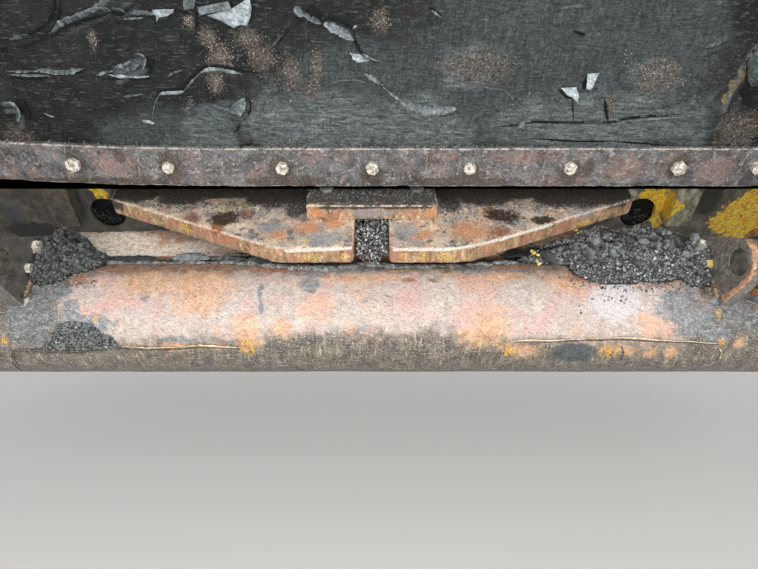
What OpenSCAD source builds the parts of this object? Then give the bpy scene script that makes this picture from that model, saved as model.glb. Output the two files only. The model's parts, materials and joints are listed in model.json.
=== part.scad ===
// Front push-roller unit of an asphalt paver.
// A heavy tube swings on an upright pivot pin between flame-cut plates welded to a cross-member,
// and carries a truck-tyre roller at each end. A rubber flap is clamped along the lip above it.
// The origin is the middle of the cross-member's rear mounting face: +X right, -Y forward, +Z up.

/* [Push tube] */
// Outside diameter of the push tube
tube_od = 168.3; // [150:0.1:180]
// Wall of the push tube
tube_wall = 11; // [8:0.5:16]
// Length of the push tube between its end caps
tube_len = 2420; // [2300:10:2600]
// Thickness of each end cap
cap_t = 10; // [6:1:16]
// How far the tube's axis stands in front of the mounting face
tube_reach = 235; // [230:1:260]
// How far the tube's axis lies below the middle of the mounting face
tube_drop = 35; // [20:1:50]

/* [Pivot] */
// Diameter of the upright pivot pin
pin_d = 50; // [40:1:56]
// How far the pin's axis stands in front of the mounting face
pin_reach = 85; // [80:1:95]
// Swing of the tube each way from straight, in degrees
swing = 5; // [2:0.5:6]
// Radial clearance of a turning pin or shaft in its bore
fit = 0.08; // [0.02:0.01:0.1]
// Gap between faces that slide past each other
slide_gap = 0.3; // [0.2:0.05:0.6]
// Clearance on each side of the pin in the slot between the wings
slot_clear = 0.4; // [0.2:0.1:1]
// Thickness of the tongue that carries the pin's bush
tongue_t = 40; // [30:1:50]
// Radius of the tongue's round end
tongue_r = 45; // [40:1:52]
// Half of the tongue's width where it meets the tube
tongue_root = 110; // [90:1:126]
// Radius of the boss between the tongue and the wings
boss_r = 42; // [38:1:46]
// Thickness of the thrust washer under the tongue
washer_t = 6; // [3:0.5:8]
// Thickness of the lower pivot plate
lower_t = 32; // [25:1:40]
// Radius of the lower pivot plate's round nose
lower_r = 50; // [45:1:56]
// Half of the lower pivot plate's width at the cross-member
lower_root = 150; // [120:1:200]
// Length of the lower pivot plate's straight side edges
lower_side = 18; // [8:1:25]
// Thickness of the gussets under the lower pivot plate
gusset_t = 12; // [8:1:20]
// How far the gussets reach forward from the cross-member
gusset_reach = 48; // [30:1:60]
// How far the gussets reach down from the lower pivot plate
gusset_drop = 66; // [30:1:68]
// Height of the collar on the pin's lower end
collar_h = 15; // [8:1:25]
// Wall of the collar on the pin's lower end
collar_wall = 14; // [8:1:18]
// How far the pin stands out below its collar
pin_tail = 8; // [2:1:20]

/* [Wings and keeper] */
// Thickness of the flame-cut wings
wing_t = 28; // [20:1:36]
// Gap between the top of the tube and the wings
crown_gap = 7.5; // [5:0.5:12]
// How far the wings' front edge stands behind the tube's axis
wing_set_back = 17; // [5:1:30]
// Half of the front edge's width, where the taper starts
wing_knee = 139; // [120:1:180]
// Half of the overall width of the two wings
wing_half = 415; // [380:1:425]
// Length of the wings' side edge from the cross-member
wing_side = 72; // [50:1:90]
// Radius of the wings' inner front corners
wing_nose_r = 8; // [3:1:15]
// Radius of the bend where the taper starts
wing_knee_r = 60; // [20:1:90]
// Radius of the wings' outer corners
wing_tip_r = 8; // [3:1:25]
// Width of the keeper plate on top of the wings
keeper_w = 195; // [150:1:240]
// Depth of the keeper plate from front to back
keeper_depth = 108; // [90:1:115]
// How far the keeper plate reaches forward of the pin's axis
keeper_front = 63.5; // [50:0.5:75]
// Thickness of the keeper plate
keeper_t = 25; // [18:1:32]
// Depth of the blind socket under the keeper plate for the pin's top
keeper_socket = 12; // [6:1:15]

/* [Cross-member] */
// Length of the cross-member
cross_len = 1500; // [1300:10:1600]
// Thickness of the cross-member
cross_t = 20; // [15:1:24]
// How far the cross-member reaches below the middle of the mounting face
cross_below = 135; // [125:1:200]
// Room above the keeper plate for its bolt heads
head_room = 11.5; // [9:0.5:20]
// Distance of the mounting holes from the cross-member's ends
hole_inset = 50; // [40:1:65]
// Spacing of the mounting holes in height
hole_pitch_z = 190; // [160:1:200]
// Diameter of the mounting holes
hole_d = 22; // [18:1:26]
// Diameter of the two tie-down holes
tie_d = 60; // [40:1:64]
// Distance of each tie-down hole from the middle
tie_x = 468; // [466:1:472]
// Height of the tie-down holes over the tube's axis
tie_over_tube = 42; // [20:1:60]
// Distance of each vertical rib's inner face from the middle
rib_x = 508; // [506:1:520]
// Width of each vertical rib
rib_w = 40; // [25:1:44]
// How far the ribs stand out from the cross-member
rib_depth = 30; // [15:1:32]
// Height of the ribs' lower end over the tube's axis
rib_over_tube = 34; // [10:1:60]

/* [Lip, flap and clamp bar] */
// Thickness of the hopper lip's angle
lip_t = 12; // [8:1:16]
// How far the lip's front face stands in front of the mounting face
lip_reach = 95.5; // [80:0.5:105]
// Height of the clamp bar
bar_h = 63.5; // [50:0.5:76]
// Thickness of the clamp bar
bar_t = 9.5; // [6:0.5:16]
// How far the clamp bar stops short of each end of the lip
bar_inset = 5; // [0:1:30]
// Thickness of the rubber flap
flap_t = 10; // [6:1:14]
// How far the flap stops short of each end of the clamp bar
flap_inset = 5; // [0:1:30]
// Height of the flap above the clamp bar, along its curve
flap_rise = 345; // [200:5:450]
// Lean of the flap's free edge, in degrees
flap_angle = 18; // [8:1:30]

/* [Shelf] */
// Height of the shelf's top over the tube's axis
shelf_over_tube = 62; // [56:1:70]
// Thickness of the shelf
shelf_t = 12; // [8:1:16]
// How far the shelf's front edge stands behind the tube's axis
shelf_set_back = 72; // [68:1:80]
// Length of the shelf
shelf_len = 1200; // [1150:10:1260]
// Half of the shelf's full-depth stretch
shelf_full = 500; // [440:1:503]
// How far the rear edge steps forward beyond the full-depth stretch
shelf_step = 13; // [5:1:20]
// Clearance between the swinging shelf and the ribs
shelf_clear = 9.4; // [6:0.1:20]
// How much further back the shelf reaches at the pivot than at its full-depth stretch's ends
shelf_bow = 18; // [0:1:24]
// Gap on each side of the pivot boss in the shelf's notch
notch_side = 13; // [5:1:25]
// Gap in front of the pivot boss in the shelf's notch
notch_gap = 8; // [3:1:15]
// Radius of the notch's corners
notch_corner_r = 6; // [2:1:10]
// Radius of the corners where the shelf's rear edge steps forward
step_corner_r = 8; // [2:1:12]
// Thickness of the back plates under the shelf
back_t = 10; // [6:1:14]
// Height of the back plates
back_h = 70; // [40:1:80]
// How far the back plates stand inside the shelf's full-depth rear edge
back_inset = 18; // [14:1:24]
// Distance of the back plates' inner ends from the middle
back_start = 135; // [130:1:160]
// Distance from the middle of the web plates between the tongue and the ears
web_x = 320; // [200:5:440]
// Thickness of the web plates
web_t = 10; // [6:1:16]

/* [Ears and rollers] */
// Outside diameter of the rollers
roller_d = 88.9; // [70:0.1:110]
// Wall of the rollers
roller_wall = 9.5; // [6:0.5:14]
// Thickness of the hub at each end of a roller
hub_t = 30; // [15:1:60]
// End clearance between a roller and its ears
roller_gap = 5; // [5:0.5:12]
// Distance of the inner ears' inner faces from the middle
ear_x = 484; // [470:1:500]
// Thickness of the ears
ear_t = 20; // [14:1:24]
// Distance of the outer ears' outer faces from the tube's ends
ear_inset = 10; // [5:1:60]
// Radius of the ears' round nose
ear_r = 31; // [29:1:42]
// How far the rollers' axis stands in front of the tube's axis
roller_forward = 40; // [20:1:60]
// Height of the rollers' axis over the tube's axis
roller_over_tube = 141; // [135:1:160]
// How far the ears' heel stands behind the tube's axis
heel_back = 95; // [86:1:100]
// Height of the ears' heel above the shelf
heel_h = 21; // [10:1:30]
// Diameter of the rollers' fixed shafts
shaft_d = 35; // [30:0.1:42]
// Clearance of a fixed shaft in the ears
shaft_clear = 0.15; // [0.05:0.05:0.3]
// How far a shaft stands out of its outer ear
shaft_out = 14; // [8:1:30]
// Width of the ring groove in a shaft's ends
groove_w = 3; // [2:0.5:4]
// Depth of the ring groove in a shaft's ends
groove_depth = 2; // [1:0.5:3]

/* [Hidden] */

// Facets of a full circle
$fn = 96;
// Straight pieces in each rounded corner of a flame-cut outline
arc_steps = 8;
// Straight pieces in the flap's curve
flap_steps = 20;
// How far a cutting tool reaches past the face it cuts
past = 1;

steel_dark = "#3b3733";
steel_rust = "#8a5a3c";
steel_worn = "#b98a6c";
roller_copper = "#b5714a";
bar_rust = "#6b5450";
rubber_black = "#26282b";
zinc_pale = "#b9b4a6";

tube_r = tube_od / 2;
tube_y = -tube_reach;
tube_z = -tube_drop;
pin_y = -pin_reach;
pin_r = pin_d / 2;
cross_front = -cross_t;

// Levels at the pivot, from the wings down
wing_z = tube_z + tube_r + crown_gap;
keeper_z = wing_z + wing_t;
cross_top = keeper_z + keeper_t + head_room;
shelf_top = tube_z + shelf_over_tube;
shelf_z = shelf_top - shelf_t;
tongue_z = shelf_z - tongue_t;
washer_z = tongue_z - slide_gap - washer_t;
lower_z = washer_z - lower_t;
collar_z = lower_z - collar_h;
pin_bottom = collar_z - pin_tail;
pin_top = keeper_z + keeper_socket - slide_gap;

slot_half = pin_r + slot_clear;
wing_front = tube_y + wing_set_back;

// The shelf's rear edges clear the ribs at the end of the swing
shelf_front = tube_y + shelf_set_back;
shelf_rear = cross_front - rib_depth - shelf_clear - shelf_full * sin(swing);
shelf_rear_end = shelf_rear - shelf_step;
back_y = shelf_rear - back_inset - back_t;
notch_half = boss_r + notch_side;
notch_front = pin_y - boss_r - notch_gap;
back_end = shelf_len / 2 - web_t / 2;
// Middles of the webs: at the back plates' inner ends, between, under the inner ears, at the shelf's ends
webs = [back_start + web_t, web_x, ear_x + ear_t / 2, shelf_len / 2 - web_t];

hole_x = cross_len / 2 - hole_inset;
bar_half = cross_len / 2 - bar_inset;
flap_half = bar_half - flap_inset;
lip_front = -lip_reach;
flap_front = lip_front - flap_t;
bar_top = cross_top + bar_h;
// Radius of the flap's curve, on its rear side
flap_r = flap_rise * 180 / (PI * flap_angle);

ear_outer_x = tube_len / 2 - ear_inset - ear_t;
roller_start = ear_x + ear_t + roller_gap;
roller_len = ear_outer_x - roller_gap - roller_start;
roller_y = tube_y - roller_forward;
roller_z = tube_z + roller_over_tube;
shaft_end = ear_outer_x + ear_t + shaft_out;

// Points of the arc of radius r that rounds corner b between a and c
function corner(a, b, c, r) =
    r == 0 ? [b] :
    let (
        u = (a - b) / norm(a - b),
        v = (c - b) / norm(c - b),
        half = acos(u * v) / 2,
        centre = b + (u + v) / norm(u + v) * r / sin(half),
        p = b + u * r / tan(half) - centre,
        q = b + v * r / tan(half) - centre,
        first = atan2(p.y, p.x),
        turn = atan2(q.y, q.x) - first,
        sweep = turn > 180 ? turn - 360 : (turn < -180 ? turn + 360 : turn)
    )
    [for (i = [0 : arc_steps])
        centre + r * [cos(first + sweep * i / arc_steps), sin(first + sweep * i / arc_steps)]];

// Closed outline through rows of [x, y, corner radius]
function outline(rows) =
    let (n = len(rows))
    [for (i = [0 : n - 1])
        let (a = rows[(i + n - 1) % n], b = rows[i], c = rows[(i + 1) % n])
        each corner([a.x, a.y], [b.x, b.y], [c.x, c.y], b.z)];

// Where a line from point p touches a circle of radius r round c, on the left (1) or right (-1)
function touch(c, r, p, side) =
    let (
        d = p - c,
        a = atan2(d.y, d.x) + side * acos(r / norm(d))
    )
    c + r * [cos(a), sin(a)];

// Round bar along X from x0 to x1, at the row's y and z
module x_bar(x0, x1, y, z, r) {
    translate([x0, y, z])
        rotate([0, 90, 0])
            cylinder(h = x1 - x0, r = r);
}

// Plate in the Y-Z plane from x0, t thick, with its outline as children
module x_plate(x0, t) {
    translate([x0, 0, 0])
        rotate([90, 0, 90])
            linear_extrude(height = t)
                children();
}

// Upright bore or pin on the pivot's axis
module on_pivot(z0, z1, r) {
    translate([0, pin_y, z0])
        cylinder(h = z1 - z0, r = r);
}

// The space that the push tube takes, for pieces that are cut to fit against it
module tube_space() {
    x_bar(-tube_len / 2, tube_len / 2, tube_y, tube_z, tube_r);
}

// Drawn on the right, and mirrored for the left
module on_side(side) {
    if (side > 0)
        children();
    else
        mirror([1, 0, 0])
            children();
}

// Flat plate from level z0, t thick, that tapers from a straight root to a round end on the pivot
module pivot_plate(z0, t, root_half, root_y, r, inner_y) {
    side = root_y > pin_y ? -1 : 1;
    right = touch([0, pin_y], r, [root_half, root_y], side);
    translate([0, 0, z0])
        linear_extrude(height = t)
            polygon([[root_half, root_y], right, [-right.x, right.y], [-root_half, root_y],
                [-root_half, inner_y], [root_half, inner_y]]);
    on_pivot(z0, z0 + t, r);
}

module wing(side) {
    rows = [
        [slot_half, wing_front, wing_nose_r],
        [wing_knee, wing_front, wing_knee_r],
        [wing_half, cross_front - wing_side, wing_tip_r],
        [wing_half, cross_front, 0],
        [slot_half, cross_front, 0]
    ];
    on_side(side)
        translate([0, 0, wing_z])
            linear_extrude(height = wing_t)
                polygon(outline(rows));
}

module rib(side) {
    rib_z = tube_z + rib_over_tube;
    on_side(side)
        translate([rib_x, cross_front - rib_depth, rib_z])
            cube([rib_w, rib_depth, cross_top - rib_z]);
}

// Side view of an ear: round nose at the roller's axis, sloping back to a heel on the shelf
module ear_profile() {
    nose = [roller_y, roller_z];
    root = [tube_y - roller_forward, tube_z + tube_r / 2];
    heel_low = [tube_y + heel_back, shelf_top];
    heel_high = [tube_y + heel_back, shelf_top + heel_h];
    difference() {
        union() {
            translate(nose)
                circle(r = ear_r);
            polygon([touch(nose, ear_r, root, -1), root, [tube_y, shelf_top], heel_low,
                heel_high, touch(nose, ear_r, heel_high, 1), nose]);
        }
        translate([tube_y, tube_z])
            circle(r = tube_r);
    }
}

module ear(side, x0) {
    on_side(side)
        difference() {
            x_plate(x0, ear_t)
                ear_profile();
            x_bar(x0 - past, x0 + ear_t + past, roller_y, roller_z, shaft_d / 2 + shaft_clear);
        }
}

module end_cap(side) {
    on_side(side)
        x_bar(tube_len / 2, tube_len / 2 + cap_t, tube_y, tube_z, tube_r);
}

module back_plate(side) {
    on_side(side)
        translate([back_start, back_y, shelf_z - back_h])
            cube([back_end - back_start, back_t, back_h]);
}

// Fixed shaft with a ring groove near its outer end
module shaft(side) {
    groove_x = shaft_end - 2 * groove_w;
    on_side(side)
        difference() {
            x_bar(ear_x, shaft_end, roller_y, roller_z, shaft_d / 2);
            difference() {
                x_bar(groove_x, groove_x + groove_w, roller_y, roller_z, shaft_d / 2 + past);
                x_bar(groove_x - past, groove_x + groove_w + past, roller_y, roller_z,
                    shaft_d / 2 - groove_depth);
            }
        }
}

module roller(side) {
    on_side(side)
        difference() {
            x_bar(roller_start, roller_start + roller_len, roller_y, roller_z, roller_d / 2);
            x_bar(roller_start - past, roller_start + roller_len + past, roller_y, roller_z,
                roller_d / 2 - roller_wall);
        }
}

module roller_hubs(side) {
    on_side(side)
        for (x0 = [roller_start, roller_start + roller_len - hub_t])
            difference() {
                x_bar(x0, x0 + hub_t, roller_y, roller_z, roller_d / 2 - roller_wall);
                x_bar(x0 - past, x0 + hub_t + past, roller_y, roller_z, shaft_d / 2 + fit);
            }
}

module cross_member() {
    color(steel_dark)
        difference() {
            translate([-cross_len / 2, -cross_t, -cross_below])
                cube([cross_len, cross_t, cross_below + cross_top]);
            for (x = [-1, 1], z = [-1, 1])
                translate([x * hole_x, past, z * hole_pitch_z / 2])
                    rotate([90, 0, 0])
                        cylinder(h = cross_t + 2 * past, d = hole_d);
            for (x = [-1, 1])
                translate([x * tie_x, past, tube_z + tie_over_tube])
                    rotate([90, 0, 0])
                        cylinder(h = cross_t + 2 * past, d = tie_d);
        }
}

module rib_left() {
    color(steel_dark)
        rib(-1);
}

module rib_right() {
    color(steel_dark)
        rib(1);
}

module wing_left() {
    color(steel_rust)
        wing(-1);
}

module wing_right() {
    color(steel_rust)
        wing(1);
}

module keeper_plate() {
    color(steel_rust)
        difference() {
            translate([-keeper_w / 2, pin_y - keeper_front, keeper_z])
                cube([keeper_w, keeper_depth, keeper_t]);
            on_pivot(keeper_z - past, keeper_z + keeper_socket, pin_r + fit);
        }
}

module lower_pivot_plate() {
    color(steel_dark)
        difference() {
            pivot_plate(lower_z, lower_t, lower_root, cross_front - lower_side, lower_r, cross_front);
            on_pivot(lower_z - past, lower_z + lower_t + past, pin_r + fit);
        }
}

module lower_gussets() {
    inner = pin_r + collar_wall + gusset_t;
    color(steel_dark)
        for (side = [-1, 1])
            on_side(side)
                x_plate(inner, gusset_t)
                    polygon([[cross_front, lower_z], [cross_front - gusset_reach, lower_z],
                        [cross_front, lower_z - gusset_drop]]);
}

module pivot_pin() {
    color(zinc_pale)
        on_pivot(pin_bottom, pin_top, pin_r);
}

module pin_collar() {
    color(steel_dark)
        difference() {
            on_pivot(collar_z, lower_z, pin_r + collar_wall);
            on_pivot(collar_z - past, lower_z + past, pin_r + fit);
        }
}

module thrust_washer() {
    color(zinc_pale)
        difference() {
            on_pivot(washer_z, washer_z + washer_t, tongue_r);
            on_pivot(washer_z - past, washer_z + washer_t + past, pin_r + fit);
        }
}

module hopper_lip() {
    color(steel_dark)
        x_plate(-cross_len / 2, cross_len)
            polygon([[0, cross_top], [lip_front, cross_top], [lip_front, bar_top],
                [lip_front + lip_t, bar_top], [lip_front + lip_t, cross_top + lip_t],
                [0, cross_top + lip_t]]);
}

// Side view of the flap: upright where it is clamped, then curving back to its free edge
module flap_profile() {
    function face(r) = [for (i = [0 : flap_steps])
        let (a = flap_angle * i / flap_steps)
        [lip_front + flap_r - r * cos(a), bar_top + r * sin(a)]];
    rear = face(flap_r);
    polygon(concat(
        [[lip_front, cross_top], [flap_front, cross_top]],
        face(flap_r + flap_t),
        [for (i = [flap_steps : -1 : 0]) rear[i]]
    ));
}

module rubber_flap() {
    color(rubber_black)
        x_plate(-flap_half, 2 * flap_half)
            flap_profile();
}

module clamp_bar() {
    color(bar_rust)
        translate([-bar_half, flap_front - bar_t, cross_top])
            cube([2 * bar_half, bar_t, bar_h]);
}

module push_tube() {
    color(steel_worn)
        difference() {
            tube_space();
            x_bar(-tube_len / 2 - past, tube_len / 2 + past, tube_y, tube_z, tube_r - tube_wall);
        }
}

module end_cap_left() {
    color(steel_worn)
        end_cap(-1);
}

module end_cap_right() {
    color(steel_worn)
        end_cap(1);
}

module shelf() {
    right = [
        [notch_half, notch_front, notch_corner_r],
        [notch_half, shelf_rear + shelf_bow, notch_corner_r],
        [shelf_full, shelf_rear, step_corner_r],
        [shelf_full + shelf_step, shelf_rear_end, step_corner_r],
        [shelf_len / 2, shelf_rear_end, 0],
        [shelf_len / 2, shelf_front, 0]
    ];
    left = [for (i = [len(right) - 1 : -1 : 0]) [-right[i].x, right[i].y, right[i].z]];
    color(steel_rust)
        translate([0, 0, shelf_z])
            linear_extrude(height = shelf_t)
                polygon(outline(concat(right, left)));
}

module shelf_webs() {
    web_low = tube_z - tube_r / 2;
    color(steel_dark)
        difference() {
            for (side = [-1, 1], x = webs)
                on_side(side)
                    x_plate(x - web_t / 2, web_t)
                        polygon([[tube_y, shelf_z], [back_y, shelf_z], [back_y, shelf_z - back_h],
                            [tube_y + tube_r * cos(30), web_low], [tube_y, web_low]]);
            tube_space();
        }
}

module back_plate_left() {
    color(steel_dark)
        back_plate(-1);
}

module back_plate_right() {
    color(steel_dark)
        back_plate(1);
}

module tongue() {
    color(steel_dark)
        difference() {
            pivot_plate(tongue_z, tongue_t, tongue_root, tube_y + tube_r, tongue_r,
                tube_y + tube_r / 2);
            tube_space();
            on_pivot(tongue_z - past, shelf_z + past, pin_r + fit);
        }
}

module pivot_boss() {
    color(steel_dark)
        difference() {
            on_pivot(shelf_z, wing_z - slide_gap, boss_r);
            on_pivot(shelf_z - past, wing_z + past, pin_r + fit);
        }
}

module ear_inner_left() {
    color(steel_dark)
        ear(-1, ear_x);
}

module ear_inner_right() {
    color(steel_dark)
        ear(1, ear_x);
}

module ear_outer_left() {
    color(steel_dark)
        ear(-1, ear_outer_x);
}

module ear_outer_right() {
    color(steel_dark)
        ear(1, ear_outer_x);
}

module shaft_left() {
    color(zinc_pale)
        shaft(-1);
}

module shaft_right() {
    color(zinc_pale)
        shaft(1);
}

module roller_left() {
    color(roller_copper)
        roller(-1);
}

module roller_right() {
    color(roller_copper)
        roller(1);
}

module roller_hubs_left() {
    color(steel_dark)
        roller_hubs(-1);
}

module roller_hubs_right() {
    color(steel_dark)
        roller_hubs(1);
}

cross_member();
rib_left();
rib_right();
wing_left();
wing_right();
keeper_plate();
lower_pivot_plate();
lower_gussets();
pivot_pin();
pin_collar();
thrust_washer();
hopper_lip();
rubber_flap();
clamp_bar();
push_tube();
end_cap_left();
end_cap_right();
shelf();
shelf_webs();
back_plate_left();
back_plate_right();
tongue();
pivot_boss();
ear_inner_left();
ear_inner_right();
ear_outer_left();
ear_outer_right();
shaft_left();
shaft_right();
roller_left();
roller_hubs_left();
roller_right();
roller_hubs_right();
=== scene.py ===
"""Front push-roller unit of an asphalt paver: worn steel, stuck asphalt and a torn rubber flap."""
import json
import math

import bmesh
import bpy
import numpy as np
from bpy.props import FloatProperty, FloatVectorProperty, IntProperty, PointerProperty
from bpy.types import Operator, Panel, PropertyGroup
from mathutils import Matrix, Vector, noise
from mathutils.bvhtree import BVHTree


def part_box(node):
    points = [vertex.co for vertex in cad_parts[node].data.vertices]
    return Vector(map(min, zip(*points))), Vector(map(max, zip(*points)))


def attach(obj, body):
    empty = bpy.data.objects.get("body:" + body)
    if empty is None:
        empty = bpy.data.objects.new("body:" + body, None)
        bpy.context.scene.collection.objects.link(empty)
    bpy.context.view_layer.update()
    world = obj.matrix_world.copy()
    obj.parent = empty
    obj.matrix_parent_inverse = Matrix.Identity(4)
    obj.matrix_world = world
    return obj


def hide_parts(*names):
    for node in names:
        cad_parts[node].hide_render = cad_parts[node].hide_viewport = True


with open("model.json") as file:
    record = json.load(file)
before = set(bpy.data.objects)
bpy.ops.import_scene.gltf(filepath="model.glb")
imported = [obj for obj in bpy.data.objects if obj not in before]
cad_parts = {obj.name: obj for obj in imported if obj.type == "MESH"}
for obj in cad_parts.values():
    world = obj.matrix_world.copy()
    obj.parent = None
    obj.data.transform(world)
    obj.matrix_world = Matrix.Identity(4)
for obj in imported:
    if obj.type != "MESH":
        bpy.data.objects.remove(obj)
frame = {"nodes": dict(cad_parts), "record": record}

bl_info = {
    "name": "Paver push-roller unit",
    "version": (1, 0, 0),
    "blender": (4, 5, 0),
    "location": "View3D > Sidebar > Paver",
    "description": "Builds the worn front push-roller unit of an asphalt paver",
    "category": "Object",
}

MM = 0.001
RECORD = frame["record"]
BODY_OF = {node: body for body, nodes in RECORD["behaviour"]["bodies"].items() for node in nodes}
SLOT_OF = {part["node"]: part["material_slot"] for part in RECORD["subparts"]}

# The photograph's frame, in pixels, and the camera that took it
PHOTO_W = 758
PHOTO_H = 569
FOCAL_PX = 570
SENSOR_MM = 36
CAMERA_AT = Vector((0.0108, -0.853, 0.587))
CAMERA_DOWN = math.radians(42)
CAMERA_RIGHT = Vector((1, 0, 0))
CAMERA_AHEAD = Vector((0, math.cos(CAMERA_DOWN), -math.sin(CAMERA_DOWN)))
CAMERA_UP = Vector((0, math.sin(CAMERA_DOWN), math.cos(CAMERA_DOWN)))
# How much longer a pixel is up or along the object than across it, seen at that slope
SLOPE = 1.45
# A pixel's width on the flap and the tube, about 0.8 m from the camera
NEAR_PIXEL = 1.42 * MM
# Pixel y down to which the flap shows above the clamp bar
BAR_TOP_PIXEL = 148

# Places worked out from the frame
TUBE_LO, TUBE_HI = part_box("push_tube")
TUBE_R = (TUBE_HI.z - TUBE_LO.z) / 2
TUBE_Z = (TUBE_HI.z + TUBE_LO.z) / 2
TUBE_Y = (TUBE_HI.y + TUBE_LO.y) / 2
TUBE_HALF = TUBE_HI.x
SHELF_LO, SHELF_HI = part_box("shelf")
BAR_LO, BAR_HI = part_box("clamp_bar")
FLAP_LO, FLAP_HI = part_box("rubber_flap")
WING_LO, WING_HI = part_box("wing_right")
CROSS_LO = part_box("cross_member")[0]
KEEPER_LO, KEEPER_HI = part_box("keeper_plate")
EAR_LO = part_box("ear_inner_right")[0]
PIN_LO, PIN_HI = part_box("pivot_pin")
PIN_Y = (PIN_LO.y + PIN_HI.y) / 2
# The wings' front edge is straight as far as the knee, and slopes back from there
WING_KNEE = 139 * MM
WING_TAPER = 0.456
# The cross-member's two tie holes
TIE_HOLE_X = 0.468
TIE_HOLE_R = 30.5 * MM
# The plain floor, which isn't part of the object
FLOOR_DROP = 420 * MM
FLOOR_HALF = 12

# The flap's curve: its front face turns about an axis behind the clamp bar's top edge
FLAP_T = 10 * MM
FLAP_RISE = 345 * MM
FLAP_LEAN = math.radians(18)
FLAP_R = FLAP_RISE / FLAP_LEAN
FLAP_AXIS_Y = FLAP_LO.y + FLAP_T + FLAP_R
FLAP_AXIS_Z = BAR_HI.z


def linear(hex_colour):
    """Linear RGBA of an sRGB hex colour."""
    parts = [int(hex_colour[i:i + 2], 16) / 255 for i in (1, 3, 5)]
    return tuple(c / 12.92 if c <= 0.04045 else ((c + 0.055) / 1.055) ** 2.4 for c in parts) + (1.0,)


# Where the photograph's pixels lie on the object

# The plain shapes of the nodes that pixels have been laid on, made when first asked for
TREES = {}
# A spot is drawn out a little, because its frayed rim eats into it
SPREAD = 1.25


def photo_ray(px, py):
    """Direction from the camera through a pixel of the photograph."""
    across = (px - PHOTO_W / 2) / FOCAL_PX
    upward = (PHOTO_H / 2 - py) / FOCAL_PX
    return (CAMERA_AHEAD + CAMERA_RIGHT * across + CAMERA_UP * upward).normalized()


def touched(px, py, *nodes):
    """Where a pixel's ray first meets the plain shape of one of the nodes, or passes it nearest."""
    ray = photo_ray(px, py)
    met = []
    for node in nodes:
        if node not in TREES:
            bm = bmesh.new()
            bm.from_mesh(frame["nodes"][node].data)
            TREES[node] = BVHTree.FromBMesh(bm)
            bm.free()
        at, _, _, away = TREES[node].ray_cast(CAMERA_AT, ray)
        if at is None:
            low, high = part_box(node)
            away = ((low + high) / 2 - CAMERA_AT).dot(CAMERA_AHEAD) / ray.dot(CAMERA_AHEAD)
            at = TREES[node].find_nearest(CAMERA_AT + ray * away)[0]
            away += 1
        met.append((away, at))
    return min(met, key=lambda pair: pair[0])[1]


def spots(boxes, *nodes):
    """Centres and half sizes of pixel boxes (left, top, right, bottom) laid on the nodes."""
    found = []
    for left, top, right, bottom in boxes:
        at = touched((left + right) / 2, (top + bottom) / 2, *nodes)
        pixel = (at - CAMERA_AT).dot(CAMERA_AHEAD) / FOCAL_PX
        across = (bottom - top) / 2 * pixel * SLOPE
        found.append((at, ((right - left) / 2 * pixel, across, across)))
    return found


def strung(half, points):
    """Pixel boxes strung along a pixel line, half a height each way."""
    boxes = []
    for (ax, ay), (bx, by) in zip(points, points[1:]):
        count = max(1, int(math.hypot(bx - ax, by - ay) / (half * 0.5)))
        for i in range(count + 1):
            x = ax + (bx - ax) * i / count
            y = ay + (by - ay) * i / count
            boxes.append((x - half * SLOPE, y - half, x + half * SLOPE, y + half))
    return boxes


def placed(table, *nodes):
    """The spots of each mark of a table, whose entries are pixel boxes, or lines as (half height, points)."""
    marks = {}
    for name, entries in table.items():
        marks[name] = []
        for entry in entries:
            marks[name] += spots(strung(*entry) if len(entry) == 2 else (entry,), *nodes)
    return marks


def paint(piece, marks):
    """Stores how strongly each mark's spots show at each point of a piece, as attributes."""
    mesh = piece.data
    points = np.empty(len(mesh.vertices) * 3)
    mesh.vertices.foreach_get("co", points)
    points = points.reshape(-1, 3)
    for name, places in marks.items():
        shown = np.full(len(points), -1.0)
        for centre, half in places:
            gone = np.linalg.norm((points - np.array(centre)) / (np.array(half) * SPREAD), axis=1)
            np.maximum(shown, 1 - gone, out=shown)
        mesh.attributes.new(name, "FLOAT", "POINT").data.foreach_set("value", shown)


def on_flap(px, py):
    """Where a pixel's ray meets the flap's front face, as (x, rise above the clamp bar)."""
    ray = photo_ray(px, py)
    dy = CAMERA_AT.y - FLAP_AXIS_Y
    dz = CAMERA_AT.z - FLAP_AXIS_Z
    a = ray.y ** 2 + ray.z ** 2
    b = 2 * (dy * ray.y + dz * ray.z)
    c = dy * dy + dz * dz - (FLAP_R + FLAP_T) ** 2
    at = CAMERA_AT + ray * ((-b - math.sqrt(b * b - 4 * a * c)) / (2 * a))
    return at.x, math.atan2(at.z - FLAP_AXIS_Z, FLAP_AXIS_Y - at.y) * FLAP_R


def flap_point(x, rise, lift=0.0):
    """The point that far up the flap's front face, lifted off it by a little."""
    if rise <= 0:
        return Vector((x, FLAP_LO.y - lift, FLAP_AXIS_Z + rise))
    turn = rise / FLAP_R
    out = FLAP_R + FLAP_T + lift
    return Vector((x, FLAP_AXIS_Y - out * math.cos(turn), FLAP_AXIS_Z + out * math.sin(turn)))


# Materials


def add(tree, kind, inputs=None, **settings):
    """Adds one node. Settings are its properties; an input is a value or another node's output."""
    node = tree.nodes.new(kind)
    for name, value in settings.items():
        setattr(node, name, value)
    for name, value in (inputs or {}).items():
        if isinstance(value, bpy.types.NodeSocket):
            tree.links.new(value, node.inputs[name])
        else:
            node.inputs[name].default_value = value
    return node


def chosen(name):
    """A colour set in the sidebar, as RGBA."""
    return (*getattr(bpy.context.scene.paver_looks, name), 1.0)


# How far the darkest and the palest colour of a mottle lie from the middle of its pattern
MOTTLE_REACH = 0.15
# The level of a painted mark at which it starts to show, above half of its fraying
MARK_LEVEL = 0.14


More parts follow.
